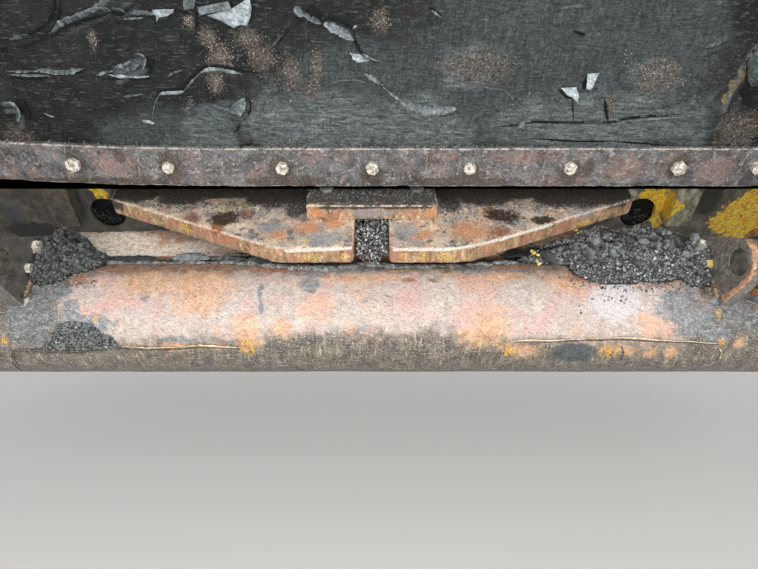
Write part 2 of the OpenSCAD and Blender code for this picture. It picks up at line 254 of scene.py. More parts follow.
class Coat:
    """A material in the making: its node tree, the point on the object in metres, and its colour so far."""

    def __init__(self, name, colour=None):
        self.material = bpy.data.materials.new(name)
        self.material.use_nodes = True
        self.tree = self.material.node_tree
        self.tree.nodes.clear()
        self.at = add(self.tree, "ShaderNodeTexCoord").outputs["Object"]
        self.colour = colour

    def grain(self, size_mm, shift=0.0, stretch=(1, 1, 1), turn=(0, 0, 0), detail=5.0, rough=0.65, warp=0.0):
        """Cloudy pattern whose features are about size_mm across, drawn out by stretch and curled by warp."""
        spot = add(self.tree, "ShaderNodeMapping", {
            "Vector": self.at, "Location": (shift, shift * 1.7, shift * 0.6), "Rotation": turn,
            "Scale": stretch,
        }, vector_type="TEXTURE").outputs[0]
        return add(self.tree, "ShaderNodeTexNoise", {
            "Vector": spot, "Scale": 1000 / size_mm, "Detail": detail, "Roughness": rough, "Distortion": warp,
        }).outputs["Fac"]

    def mottle(self, size_mm, colours, **shape):
        """Cloudy colours, from the darkest to the palest, in patches about size_mm across."""
        ramp = add(self.tree, "ShaderNodeValToRGB", {"Fac": self.grain(size_mm, **shape)})
        names = colours.split()
        stops = ramp.color_ramp.elements
        stops.remove(stops[1])
        for i, name in enumerate(names):
            place = 0.5 + MOTTLE_REACH * (2 * i / (len(names) - 1) - 1)
            stop = stops.new(place) if i else stops[0]
            stop.position = place
            stop.color = linear(name)
        return ramp.outputs["Color"]

    def lay(self, below, top, pattern, low, high, most=1.0):
        """One colour, hex or made, laid over another where a pattern rises from low to high."""
        below, top = (linear(colour) if isinstance(colour, str) else colour for colour in (below, top))
        where = add(self.tree, "ShaderNodeMapRange", {
            "Value": pattern, "From Min": low, "From Max": high, "To Max": most,
        }, interpolation_type="SMOOTHSTEP").outputs[0]
        return add(self.tree, "ShaderNodeMix", {0: where, 6: below, 7: top}, data_type="RGBA").outputs[2]

    def over(self, top, pattern, low, high, most=1.0):
        """Lays a colour over the coat."""
        self.colour = self.lay(self.colour, top, pattern, low, high, most)

    def mark(self, top, name, fray=0.6, fray_mm=6, gritty=None, soft=0.16, most=1.0):
        """Lays a colour where a painted mark is, with a frayed rim, and broken up by a gritty pattern."""
        painted = add(self.tree, "ShaderNodeAttribute", attribute_name=name).outputs["Fac"]
        rim = self.grain(fray_mm, shift=0.37)
        level = add(self.tree, "ShaderNodeMath", {0: rim, 1: fray, 2: painted}, operation="MULTIPLY_ADD")
        least = fray / 2 + MARK_LEVEL
        shown = add(self.tree, "ShaderNodeMapRange", {
            "Value": level.outputs[0], "From Min": least, "From Max": least + soft,
        }, interpolation_type="SMOOTHSTEP").outputs[0]
        if gritty is not None:
            shown = add(self.tree, "ShaderNodeMath", {0: shown, 1: gritty}, operation="MULTIPLY").outputs[0]
        self.over(top, shown, 0, 1, most)

    def worn_edge(self, size_mm):
        """Where the piece's rounded edges are, broken up by a pattern about size_mm across."""
        edge = add(self.tree, "ShaderNodeAttribute", attribute_name="edge").outputs["Fac"]
        broken = self.grain(size_mm, shift=5)
        return add(self.tree, "ShaderNodeMath", {0: edge, 1: broken}, operation="MULTIPLY").outputs[0]

    def speckle(self, size_mm, depth, **shape):
        """Darkens and pales the coat by a fine grain."""
        level = add(self.tree, "ShaderNodeMapRange", {
            "Value": self.grain(size_mm, **shape), "From Min": 0.25, "From Max": 0.75, "To Min": 1 - depth,
            "To Max": 1 + depth,
        }).outputs[0]
        self.colour = add(self.tree, "ShaderNodeMix", {0: 1.0, 6: self.colour, 7: level}, data_type="RGBA",
                          blend_type="MULTIPLY", clamp_result=True).outputs[2]

    def finish(self, rough, metal=0.0, height=None, depth_mm=0.5, gloss=0.5):
        """Completes the material from its colour, roughness, metal and gloss, with an optional relief."""
        shader = add(self.tree, "ShaderNodeBsdfPrincipled", {
            "Base Color": self.colour, "Roughness": rough, "Metallic": metal, "Specular IOR Level": gloss,
        })
        if height is not None:
            relief = {"Height": height, "Strength": 1.0, "Distance": depth_mm * MM}
            bump = add(self.tree, "ShaderNodeBump", relief)
            self.tree.links.new(bump.outputs[0], shader.inputs["Normal"])
        add(self.tree, "ShaderNodeOutputMaterial", {"Surface": shader.outputs[0]})
        return self.material


def tube_steel():
    """Rolled steel pipe burnished by truck tyres: pale pink and tan, with drab mill scale, and grime and
    painted shade below.
    """
    coat = Coat("rolled steel burnished by tyres")
    fine = coat.grain(3.2, detail=3, warp=1.2)
    # Mill scale and road film where nothing rubs, streaked down the curve
    coat.colour = coat.mottle(20, "#35322d #47433b #5a564a #6e6859 #827a6a")
    streaks = coat.grain(3.4, 3, (1, 6, 6), warp=0.5)
    coat.over("#cbbd9f", streaks, 0.54, 0.7, 0.8)
    coat.over("#3f3d39", coat.grain(9, 5, (1, 3, 3)), 0.52, 0.66, 0.75)
    coat.over("#a8805c", coat.grain(24, 8), 0.57, 0.7, 0.5)
    # Darker towards the bottom of the tube: road film on its lower band, and painted shade on its underside,
    # the darkest layer
    depth = add(coat.tree, "ShaderNodeSeparateXYZ", {0: coat.at}).outputs["Z"]
    low = add(coat.tree, "ShaderNodeMath", {0: depth, 1: -1.0}, operation="MULTIPLY").outputs[0]
    coat.over("#3b3b34", low, 0.02, 0.075, 0.65)
    coat.over("#1b1b18", low, 0.06, 0.088, 0.9)
    grey = coat.mottle(9, "#3a4043 #4e5558 #646c70 #7f8688")
    coat.mark(grey, "blue", 0.6, 14, soft=0.5)
    # The burnished stretch: tan, pink and peach, veined with grey
    burnished = coat.mottle(12, "#b8a79e #c4b3a9 #cfbfb5 #dacdc3", warp=0.6)
    burnished = coat.lay(burnished, "#e6b088", coat.grain(60, 4), 0.46, 0.62, 0.8)
    burnished = coat.lay(burnished, "#d6a89d", coat.grain(70, 11), 0.48, 0.62, 0.8)
    burnished = coat.lay(burnished, "#a39f9f", coat.grain(15, 2, rough=0.8, warp=1.0), 0.53, 0.66, 0.7)
    coat.mark(burnished, "polish", 0.7, 20, soft=0.5)
    veil = coat.mottle(8, "#4a5359 #616c73 #78858d #949ea4")
    coat.mark(veil, "veil", 1.1, 14, soft=0.45, most=0.85)
    coat.mark("#dad3d3", "pale", 0.6, 12, soft=0.5, most=0.85)
    rust = coat.mottle(9, "#c4875a #d8a071 #e9b686 #f2cba2", warp=0.8)
    coat.mark(rust, "orange", 1.2, 9, soft=0.8, most=0.75)
    scorch = coat.mottle(6, "#6d4330 #8a5a3f #a97454 #bd8a66", warp=0.8)
    coat.mark(scorch, "brown", 0.9, 12, soft=0.55, most=0.85)
    # Tyre marks and fine scratches at several slants
    for turn, shift in ((0.5, 3), (-0.4, 7), (1.3, 1), (0.05, 5), (0.9, 9)):
        lines = coat.grain(1.5, shift, (9, 1, 1), (0.3, 0.2, turn), 2, 0.5, 0.5)
        coat.over("#75675f", lines, 0.6, 0.7, 0.55)
        coat.over("#f2e4d8", lines, 0.4, 0.3, 0.35)
    chips = coat.grain(4.5, 13, (1, 1, 2), warp=1.2)
    chip = add(coat.tree, "ShaderNodeMath", {0: chips, 1: 0.5}, operation="GREATER_THAN").outputs[0]
    coat.mark("#efb34a", "yellow", 1.5, 10, chip, 0.8, most=0.85)
    coat.mark(coat.mottle(4, "#383a3b #4a5154 #60666a"), "dark", 0.9, 9, soft=0.4, most=0.92)
    coat.speckle(2.0, 0.34, warp=1.2)
    return coat.finish(0.46, 0.12, fine, 0.9)


def cut_plate():
    """Flame-cut steel plate: ochre rust on the cut faces, grey-tan tops, oil-dark where dirt lies, with
    painted shade under the clamp bar.
    """
    coat = Coat("flame-cut plate, rusted")
    fine = coat.grain(2.6, detail=3)
    # Tops walked on and rained on: grey, purple-grey and tan patches
    top = coat.mottle(26, "#8b857f #aba298 #c6b7a8 #dcc4a9 #ecd7bd")
    top = coat.lay(top, "#cfa084", coat.grain(24, 6), 0.52, 0.64, 0.75)
    top = coat.lay(top, "#ecd6bc", coat.grain(8, 9, warp=0.8), 0.54, 0.65, 0.8)
    top = coat.lay(top, "#4a443d", coat.grain(9, 12, warp=0.8), 0.52, 0.64, 0.85)
    # Cut faces, drawn down by the torch
    face = coat.mottle(8, "#876a4d #9c7e5f #af8e6c #bf9d79 #d6b58f", stretch=(1, 1, 3))
    face = coat.lay(face, "#5f4430", coat.grain(6, 4, (1, 1, 4)), 0.55, 0.67, 0.75)
    face = coat.lay(face, "#b67c67", coat.grain(40, 8), 0.48, 0.6, 0.75)
    face = coat.lay(face, "#f0dcc0", coat.grain(5, 9, (1, 1, 2)), 0.57, 0.67, 0.7)
    normal = add(coat.tree, "ShaderNodeTexCoord").outputs["Normal"]
    upward = add(coat.tree, "ShaderNodeSeparateXYZ", {0: normal}).outputs["Z"]
    coat.colour = coat.lay(face, top, upward, 0.5, 0.9)
    coat.mark(chosen("rust"), "orange", 1.3, 8, soft=0.7, most=0.75)
    coat.mark("#979ca0", "blue", 0.9, 14, soft=0.6, most=0.65)
    chips = coat.grain(3, 2)
    chip = add(coat.tree, "ShaderNodeMath", {0: chips, 1: 0.52}, operation="GREATER_THAN").outputs[0]
    coat.mark("#e6c95a", "yellow", 0.8, 6, chip, 0.4, most=0.85)
    coat.mark(coat.mottle(9, "#c6b09c #e6d4c0 #faeddc #fff8ee"), "cream", 0.9, 14, soft=0.5, most=0.92)
    # Dirt on the tops, thick under the clamp bar, where it is also painted shade
    grime = coat.mottle(5, "#24211e #34302c #45413c #5c564f")
    grime = coat.lay(grime, "#807a72", coat.grain(3, 7), 0.6, 0.72, 0.7)
    coat.mark(grime, "grime", 0.9, 16, soft=0.4, most=0.94)
    coat.mark(coat.mottle(6, "#5a3218 #8a5128 #b8753c"), "brown", 1.2, 8, soft=0.7, most=0.8)
    coat.mark(coat.mottle(5, "#120d0a #2a1a10 #4a2c18"), "pit", 1.2, 9, soft=0.5, most=0.95)
    # Pale marks: on the wings' front edges a worn lip with a painted highlight along it; elsewhere pale spots
    coat.mark("#e9e0d4", "pale", 0.9, 7, soft=0.4, most=0.85)
    coat.over("#d8c8b4", coat.worn_edge(9), 0.42, 0.56, 0.75)
    coat.speckle(2.4, 0.6)
    return coat.finish(0.55, 0.08, fine, 0.6)


def bar_steel():
    """Hot-rolled flat bar: mauve-brown rust gone grey, bare along its chipped top edge."""
    coat = Coat("hot-rolled flat bar, rust-brown")
    fine = coat.grain(2.6, detail=3)
    coat.colour = coat.mottle(30, "#4a4949 #5b5a5a #6b6a6a #7d7c7b")
    coat.over("#8f7872", coat.grain(36, 5), 0.52, 0.64, 0.6)
    coat.over("#b0ada9", coat.grain(8, 3, warp=1.0), 0.53, 0.66, 0.8)
    coat.over("#39322e", coat.grain(8, 8, (1.5, 1, 1), warp=1.0), 0.53, 0.65, 0.8)
    coat.over("#868c8a", coat.grain(46, 9), 0.54, 0.66, 0.5)
    coat.mark(coat.mottle(7, "#84665c #a07f74 #b9978a"), "orange", 1.2, 10, soft=0.8, most=0.45)
    coat.over("#b9967e", coat.grain(4, 12, (1, 1, 6), (0, 0.1, 0)), 0.58, 0.7, 0.7)
    # Painted shadow round the bolt heads, and darker patches along the bar's lower edge
    coat.mark(coat.mottle(4, "#2d2926 #4a423b #6d6150"), "dark", 0.9, 7, soft=0.3, most=0.8)
    coat.over("#c9bcb0", coat.worn_edge(12), 0.4, 0.56, 0.7)
    coat.speckle(2.4, 0.75, warp=0.8)
    return coat.finish(0.6, 0.08, fine, 0.7)


def filmed_steel():
    """Structural steel under a film of asphalt: slate black, brown where it is rubbed."""
    coat = Coat("structural steel, asphalt film")
    fine = coat.grain(2.6, detail=3)
    coat.colour = coat.mottle(22, "#4b4946 #5d5a56 #6e6c67 #827f78")
    coat.over("#8b8272", coat.grain(7, 4), 0.57, 0.7, 0.7)
    coat.over("#5f6a72", coat.grain(18, 7), 0.56, 0.68, 0.5)
    coat.mark(coat.mottle(7, "#5c5852 #7c7770 #a09a8f"), "grey", 0.9, 10, soft=0.4, most=0.9)
    coat.mark(coat.mottle(6, "#9a6a48 #c49068 #dfb08c"), "orange", 0.9, 7, soft=0.3, most=0.9)
    coat.mark("#2c2a28", "dark", 0.6, 6, most=0.85)
    coat.over("#a89a80", coat.worn_edge(10), 0.42, 0.58, 0.7)
    coat.speckle(2.4, 0.7)
    return coat.finish(0.5, 0.1, fine, 0.6)


def grimy_enamel():
    """Yellow enamel sprayed on steel, under black asphalt grime that is scraped off in places."""
    coat = Coat("yellow enamel under asphalt grime")
    fine = coat.grain(2.6, detail=3)
    coat.colour = coat.mottle(24, "#45433e #57544d #6a665c #7d776a")
    coat.over("#7a6f5a", coat.grain(5, 4, (1, 1, 5), (0, 0.5, 0)), 0.54, 0.68, 0.75)
    # Painted bluish sheen over the dark grime, on the cross-member's left
    coat.mark("#4d5560", "blue", 0.8, 16, soft=0.5, most=0.6)
    green = coat.mottle(9, "#6a6653 #8d8a76 #aca890 #cbc6aa", stretch=(1, 1, 2))
    coat.mark(green, "green", 0.6, 8)
    flecks = coat.grain(3.4, 6, (1, 1, 3), (0, 0.7, 0))
    enamel = coat.lay(chosen("enamel"), "#f5a524", coat.grain(7, 3), 0.46, 0.6, 0.85)
    enamel = coat.lay(enamel, "#fff0a0", coat.grain(4, 5, (1, 1, 2)), 0.58, 0.68, 0.7)
    enamel = coat.lay(enamel, "#5a5038", flecks, 0.57, 0.62, 0.75)
    worn = add(coat.tree, "ShaderNodeMath", {0: flecks, 1: 0.4}, operation="GREATER_THAN").outputs[0]
    coat.mark(enamel, "yellow", 1.1, 9, worn, most=0.99)
    coat.over("#948a70", coat.worn_edge(10), 0.44, 0.58, 0.6)
    coat.mark(coat.mottle(8, "#1b1916 #2b2824 #3b3732"), "dark", 0.8, 12, soft=0.4, most=0.9)
    coat.speckle(2.4, 0.5)
    return coat.finish(0.55, 0.0, fine, 0.7)


def belting():
    """Rubber conveyor belting under a skin of bitumen: dull black, greyer where stone dust has dried, and
    paler over its middle and right as painted light.
    """
    coat = Coat("rubber belting, bitumen skin")
    fine = coat.grain(3, detail=4, warp=0.8)
    wrinkle = coat.grain(2.4, 2, (6, 1, 1), (0, 0.06, 0), 3, warp=0.4)
    coat.colour = coat.mottle(45, "#0f1010 #141515 #1a1c1c #222525")
    coat.over("#2c3030", coat.grain(16, 3), 0.5, 0.66, 0.7)
    coat.over("#2a2320", coat.grain(60, 6), 0.52, 0.66, 0.6)
    # Paler over the middle and right of the flap: dried dust, and painted light, so that its left side stays
    # dark as painted shade
    dust = coat.grain(5, 2, (1, 1, 5), (0, 0.12, 0), rough=0.75, warp=0.9)
    dust_and_light = coat.lay("#383d3d", chosen("rubber"), dust, 0.4, 0.6)
    coat.mark(dust_and_light, "dust_and_light", 0.9, 60, soft=0.6, most=0.95)
    pale = coat.mottle(5, "#454a4a #575d5d #687070 #7f8787", stretch=(5, 1, 1), turn=(0, 0.06, 0), warp=1.0)
    coat.mark(pale, "pale", 0.9, 30, soft=0.6, most=0.9)
    sheet = coat.mottle(4, "#2e3233 #43494a #596162 #6c7576", stretch=(6, 1, 1), turn=(0, 0.35, 0), warp=0.8)
    coat.mark(sheet, "sheet", 0.6, 8, soft=0.3, most=0.7)
    brown = coat.mottle(3.4, "#2a2622 #463e37 #6a5f54 #948677", detail=3)
    coat.mark(brown, "brown", 1.3, 9, soft=0.6, most=0.65)
    coat.mark(coat.mottle(5, "#4d4534 #7a6a45 #a08a56"), "ochre", 0.9, 8, soft=0.3, most=0.9)
    # Painted shade: near-black beside the big folds and in the deep groove at the right
    coat.mark("#0c0c0c", "dark", 0.7, 12, soft=0.5, most=0.85)
    # Drag lines: fine pale and black wrinkles, mostly level; the wrinkle pattern is paler on its crests and
    # black in its troughs, partly painted highlight and painted shade
    coat.speckle(2.2, 0.5, stretch=(3, 1, 1), turn=(0, 0.05, 0), detail=3, warp=0.9)
    coat.speckle(2.0, 0.35, stretch=(1, 1, 4), detail=2, shift=3)
    # Painted highlight on the wrinkles' crests and painted shade in their troughs, on top of the drag streaks
    coat.over("#636a69", wrinkle, 0.55, 0.72, 0.6)
    coat.over("#151717", wrinkle, 0.46, 0.34, 0.55)
    coat.over("#707876", coat.grain(2, 7, (1, 1, 9), (0, 0.5, 0), 2), 0.64, 0.74, 0.45)
    coat.over("#101111", coat.grain(3, 8, (6, 1, 1), (0, -0.1, 0), warp=0.8), 0.6, 0.7, 0.6)
    # The folds' ridges lightened: partly wear, partly painted highlight
    ridge = add(coat.tree, "ShaderNodeAttribute", attribute_name="ridge_wear_and_highlight").outputs["Fac"]
    coat.over("#6c7577", ridge, 0.3, 1.0, 0.55)
    coat.speckle(2.6, 0.6)
    rough = add(coat.tree, "ShaderNodeMapRange", {"Value": fine, "To Min": 0.5, "To Max": 0.75}).outputs[0]
    relief = add(coat.tree, "ShaderNodeMath", {0: fine, 1: wrinkle}, operation="ADD").outputs[0]
    return coat.finish(rough, 0.0, relief, 1.6, 0.25)


def peeled_skin():
    """Loose flakes and lips of dried bitumen emulsion: pale blue-grey, slightly glossy, black-specked."""
    coat = Coat("peeled bitumen skin")
    tone = add(coat.tree, "ShaderNodeAttribute", attribute_name="tone").outputs["Fac"]
    coat.colour = coat.mottle(5, "#262a2b #363b3c #4b5253 #606869", warp=0.6)
    pale = coat.mottle(5, "#8a979b #a3afb3 #b9c4c7 #cfd8da")
    coat.over(pale, tone, 0.2, 1.2)
    coat.speckle(2.2, 0.6, stretch=(4, 1, 1), turn=(0, 0.3, 0), detail=3)
    coat.over("#2b2d2f", coat.grain(3.4, 1, detail=2), 0.63, 0.69, 0.85)
    return coat.finish(0.42, 0.0, coat.grain(3, 2), 0.4, 0.4)


def rolled_lip():
    """Steel squeezed over by tyres at the edge of the burnished stretch: bright cream and ochre, and dark
    where its tone is low, for the painted shadow strips under the lips.
    """
    coat = Coat("rolled lip of steel")
    tone = add(coat.tree, "ShaderNodeAttribute", attribute_name="tone").outputs["Fac"]
    coat.colour = coat.mottle(5, "#33302c #5a554c #7f786a")
    coat.over(coat.mottle(9, "#cba878 #e6cfa6 #f2e5cb #fbf6ec"), tone, 0.1, 0.7)
    return coat.finish(0.45, 0.1)


def chipped_enamel():
    """Loose chips of yellow enamel."""
    coat = Coat("chips of yellow enamel")
    coat.colour = coat.mottle(6, "#b8963c #e6cc6a #f6e8a6")
    return coat.finish(0.5)


def painted_gap_shade():
    """Painted shade for gaps: sooty black, in the flap's cracks and the cross-member's tie holes."""
    coat = Coat("painted gap shade, sooty black")
    coat.colour = coat.mottle(4, "#0a0a0a #121313 #1c1d1d")
    return coat.finish(0.8, gloss=0.2)


def asphalt():
    """Cold asphalt: bitumen-coated grit, slate grey with pale broken faces."""
    coat = Coat("cold asphalt crumb")
    tone = add(coat.tree, "ShaderNodeAttribute", attribute_name="tone").outputs["Fac"]
    coat.colour = coat.lay("#292a2a", "#747776", tone, 0.0, 0.6)
    coat.over("#8c8f8d", tone, 0.6, 0.97)
    coat.over("#c8c9c4", tone, 0.98, 1.0)
    coat.over("#8f9290", coat.grain(5, 4, detail=3), 0.6, 0.7, 0.6)
    coat.over("#1a1b1b", coat.grain(5, 8, detail=3), 0.57, 0.67, 0.7)
    return coat.finish(0.5)


def sand():
    """Stone grit stuck in the bitumen: brown to pale tan."""
    coat = Coat("stuck stone grit")
    tone = add(coat.tree, "ShaderNodeAttribute", attribute_name="tone").outputs["Fac"]
    coat.colour = coat.lay("#3b3733", "#7b736b", tone, 0.0, 0.7)
    coat.over("#b3aaa0", tone, 0.7, 1.0)
    coat.over("#565655", coat.grain(12, 3), 0.5, 0.62, 0.7)
    return coat.finish(0.7)


def smear():
    """Bitumen and stone dust pressed into a seam: grey paste with white specks."""
    coat = Coat("pressed bitumen paste")
    coat.colour = coat.mottle(7, "#3a3733 #5c5b58 #7d7e7c #9ba1a4")
    coat.over("#cfd3d3", coat.grain(5, 3), 0.58, 0.68, 0.85)
    coat.over("#6e5138", coat.grain(14, 7), 0.56, 0.68, 0.7)
    coat.speckle(2.4, 0.7)
    return coat.finish(0.5, 0.0, coat.grain(3, 2), 0.8)


def zinc():
    """Zinc-plated bolt head, hammered and white with dried lime."""
    coat = Coat("zinc-plated bolt head")
    coat.colour = coat.mottle(5, "#8f8672 #cbc4b0 #ebe7d9 #fbfaf2")
    coat.over("#4f4737", coat.grain(4.4, 3), 0.55, 0.62, 0.85)
    coat.mark("#d9bf62", "yellow", 0.3, 4, most=0.9)
    return coat.finish(0.4, 0.1, coat.grain(4, 6), 0.5)


def turned_steel():
    """Turned bright steel with grease: grey, finely ringed."""
    coat = Coat("turned steel, greased")
    coat.colour = coat.mottle(8, "#4a4844 #66625b #7f7b72 #989286")
    coat.over("#302c28", coat.grain(14, 4), 0.54, 0.68, 0.7)
    return coat.finish(0.4, 0.5, coat.grain(3, 2, (6, 1, 1)), 0.3)


def roller_skin():
    """Roller shell rolled bright by tyres, with copper-orange rust in rings and dark scuffs."""
    coat = Coat("rolled roller shell, fresh rust")
    rings = coat.grain(4, 1, (1, 10, 10))
    coat.colour = coat.mottle(18, "#a06a44 #bb845c #cf9c76 #dcb493")
    coat.over("#e6cdb6", rings, 0.54, 0.68, 0.7)
    coat.over("#6b4630", coat.grain(24, 5), 0.55, 0.68, 0.7)
    coat.over("#5a5a58", coat.grain(34, 9), 0.57, 0.66, 0.7)
    coat.speckle(2.6, 0.5)
    return coat.finish(0.4, 0.3, rings, 0.3)


def weld_metal():
    """Deposited weld metal: rippled beads, rusted and grimed."""
    coat = Coat("weld bead, rusted")
    coat.colour = coat.mottle(6, "#4d4034 #6e5a47 #8e755a #b39b7c")
    coat.over("#3a3734", coat.grain(16, 4), 0.52, 0.66, 0.7)
    return coat.finish(0.5, 0.2, coat.grain(2.5, 2), 0.4)


FINISHES = {
    "tube": tube_steel, "plate": cut_plate, "bar": bar_steel, "film": filmed_steel, "enamel": grimy_enamel,
    "belting": belting, "flake": peeled_skin, "rolled": rolled_lip, "chip": chipped_enamel,
    "gap_shade": painted_gap_shade, "asphalt": asphalt, "sand": sand, "paste": smear, "zinc": zinc,
    "turned": turned_steel, "roller": roller_skin, "weld": weld_metal,
}
MADE = {}


def material(name):
    """The named finish, made the first time it is asked for."""
    if name not in MADE:
        MADE[name] = FINISHES[name]()
    return MADE[name]


# Marks painted on the steel and the flap: pixel boxes (left, top, right, bottom) and
# lines (half height, points)

TUBE_MARKS = placed({
    "polish": ((33, ((98, 304), (250, 302))), (30, ((250, 299), (520, 299))), (33, ((520, 304), (664, 305)))),
    "blue": ((-4, 283, 62, 348), (650, 292, 712, 322), (700, 284, 790, 330)),
    "veil": ((137, 284, 152, 302), (256, 282, 264, 300), (258, 302, 264, 316), (297, 276, 321, 293),
             (280, 266, 380, 280), (440, 264, 540, 276), (650, 292, 712, 322), (668, 286, 706, 334),
             (52, 316, 122, 334), (48, 286, 74, 300), (158, 337, 200, 344), (694, 312, 716, 338),
             (708, 294, 744, 310), (702, 328, 736, 342), (58, 300, 84, 318)),
    "orange": ((226, 312, 268, 346), (343, 320, 358, 336), (460, 306, 520, 350), (446, 322, 510, 350),
               (84, 266, 210, 300), (150, 266, 262, 306), (170, 284, 236, 318), (262, 318, 300, 340),
               (500, 340, 545, 362), (640, 344, 662, 361), (660, 343, 682, 361), (730, 336, 748, 350),
               (150, 341, 204, 353), (612, 344, 642, 358), (540, 268, 600, 296), (470, 268, 540, 284),
               (300, 270, 420, 286)),
    "brown": ((86, 262, 160, 276), (130, 261, 260, 273), (230, 263, 330, 275), (556, 266, 604, 286),
              (620, 266, 690, 290), (398, 277, 420, 283), (424, 278, 444, 283), (470, 262, 570, 272),
              (66, 272, 96, 288)),
    "yellow": ((232, 336, 266, 357), (496, 342, 520, 360), (596, 342, 622, 361), (-3, 335, 12, 345),
               (190, 343, 240, 350), (715, 336, 728, 346), (388, 268, 412, 274), (446, 266, 458, 270),
               (118, 320, 126, 328), (714, 308, 722, 320), (90, 316, 100, 322)),
    "pale": ((580, 284, 650, 318), (596, 280, 640, 298), (18, 296, 30, 306)),
    "dark": ((548, 342, 600, 364),),
}, "push_tube")
WING_MARKS = placed({
    # Grime near the clamp bar: dirt, and painted shade under the bar
    "grime": ((10, ((112, 190), (300, 193), (440, 193), (632, 191))), (282, 190, 312, 222),
              (436, 190, 462, 216), (150, 186, 215, 208), (520, 186, 630, 212), (240, 186, 300, 212),
              (455, 188, 520, 210), (108, 184, 168, 205), (556, 188, 640, 209)),
    "pit": ((203, 208, 246, 228), (481, 206, 525, 226), (524, 214, 560, 226), (222, 210, 240, 218)),
    "brown": ((179, 210, 204, 228), (483, 222, 518, 241), (205, 218, 230, 236), (478, 204, 500, 216),
              (236, 206, 258, 220)),
    "orange": ((286, 216, 326, 240), (440, 214, 498, 248), (318, 213, 350, 232), (208, 220, 226, 234),
               (262, 222, 292, 246), (405, 224, 440, 244)),
    "yellow": ((214, 203, 233, 214), (230, 200, 259, 211), (299, 254, 324, 261), (338, 253, 349, 260),
               (399, 252, 409, 260), (415, 254, 431, 261), (433, 253, 457, 261), (176, 220, 194, 234),
               (300, 236, 312, 244), (560, 220, 604, 232)),
    "blue": ((388, 218, 424, 242), (296, 228, 352, 249), (250, 218, 290, 236), (560, 206, 610, 218)),
    # A pale line along the front edges: worn lip and painted highlight
    "pale": ((1.6, ((286, 251), (318, 250), (351, 248))),
             (1.3, ((394, 250), (446, 250), (500, 240), (552, 225))), (252, 204, 262, 210)),
}, "wing_left", "wing_right")
KEEPER_MARKS = placed({
    # Grime under the clamp bar: dirt, and painted shade under the bar
    "grime": ((12, ((306, 196), (440, 196))), (3, ((322, 206), (430, 206)))),
    "orange": ((306, 205, 326, 220), (426, 205, 440, 220)),
    "blue": ((340, 208, 404, 218),),
}, "keeper_plate")
SHELF_MARKS = placed({
    "cream": ((60, 228, 180, 256), (90, 244, 176, 260), (150, 238, 240, 256)),
    "pale": ((172, 253, 214, 266), (90, 252, 176, 257)),
    "orange": ((134, 230, 174, 252), (160, 234, 200, 250)),
    "yellow": ((98, 255, 172, 262),),
    "blue": ((168, 230, 250, 252), (500, 248, 530, 256), (66, 232, 96, 250)),
    "grime": ((10, 232, 72, 266), (496, 246, 560, 270), (560, 226, 760, 270), (226, 250, 300, 264)),
}, "shelf")
CROSS_MARKS = placed({
    "yellow": ((86, 181, 96, 190), (93, 188, 108, 200), (634, 184, 664, 232), (640, 186, 656, 204),
               (7, ((758, 194), (744, 206), (728, 217))), (12, ((800, 192), (770, 206), (742, 218))),
               (720, 192, 810, 240), (708, 212, 744, 232)),
    # Painted bluish sheen on the dark left of the cross-member
    "blue": ((60, 180, 94, 234), (0, 200, 30, 236)),
    "dark": ((694, 184, 724, 216), (106, 186, 140, 206), (0, 222, 70, 240)),
}, "cross_member")
CROSS_MARKS |= placed({"green": ((664, 190, 694, 232), (604, 190, 640, 204))}, "cross_member", "rib_right")
RIB_MARKS = placed({
    "green": ((662, 188, 696, 234),),
    "yellow": ((664, 194, 674, 216), (676, 204, 684, 212)),
}, "rib_right")
BAR_MARKS = placed({
    "orange": ((84, 150, 150, 178), (480, 150, 560, 166), (590, 154, 660, 182), (330, 152, 352, 162),
               (690, 154, 744, 180), (22, 168, 50, 180), (430, 152, 466, 162), (550, 174, 600, 184)),
    # Painted shadow round each bolt head, and darker patches along the lower edge
    "dark": ((65, 151, 86, 170), (157, 152, 184, 180), (268, 158, 296, 180), (360, 164, 384, 184),
             (459, 164, 480, 184), (559, 160, 582, 184), (666, 156, 690, 178), (112, 148, 126, 162),
             (583, 158, 594, 178), (-10, 178, 200, 192), (240, 182, 330, 192), (400, 184, 520, 192)),
}, "clamp_bar")
EAR_MARKS = placed({
    "orange": ((2.6, ((748, 238), (755, 250), (754, 266), (748, 280), (737, 290), (724, 298))),),
    "grey": ((690, 232, 760, 300),),
}, "ear_inner_right")
STUD_MARKS = placed({
    "yellow": ((700, 254, 718, 274),),
}, "ear_inner_right")
FLAP_MARKS = placed({
    # Paler middle and right of the flap: dried dust and painted light
    "dust_and_light": ((300, 10, 780, 175), (220, 50, 480, 175), (380, -50, 720, 120), (540, -20, 760, 130),
              (80, 112, 240, 165)),
    "pale": ((210, 92, 420, 165), (340, 98, 500, 165), (460, 92, 740, 165), (170, 108, 250, 150),
             (530, 112, 700, 160), (430, 46, 510, 90), (150, 132, 260, 162), (620, 62, 690, 94)),
    "sheet": ((188, 106, 236, 132), (206, 103, 246, 124)),
    "brown": ((198, 27, 219, 48), (205, 44, 236, 69), (232, 27, 264, 50), (245, 44, 278, 72),
              (206, 71, 226, 94), (283, 58, 302, 87), (301, 81, 322, 99), (309, 51, 325, 82),
              (368, 9, 392, 32), (436, 52, 524, 82), (630, 58, 686, 92), (605, 92, 616, 118),
              (182, 13, 196, 28), (86, 30, 99, 50), (708, 106, 770, 150), (0, 124, 40, 150)),
    "ochre": ((718, 88, 732, 104), (724, 76, 740, 94), (732, 62, 750, 82), (742, 46, 758, 68),
              (728, 78, 740, 86)),
    # Near-black painted shade beside the big folds and in the deep groove at the right
    "dark": ((726, -20, 800, 40), (740, 84, 770, 114), (44, -20, 60, 20)),
}, "rubber_flap")


# Meshes


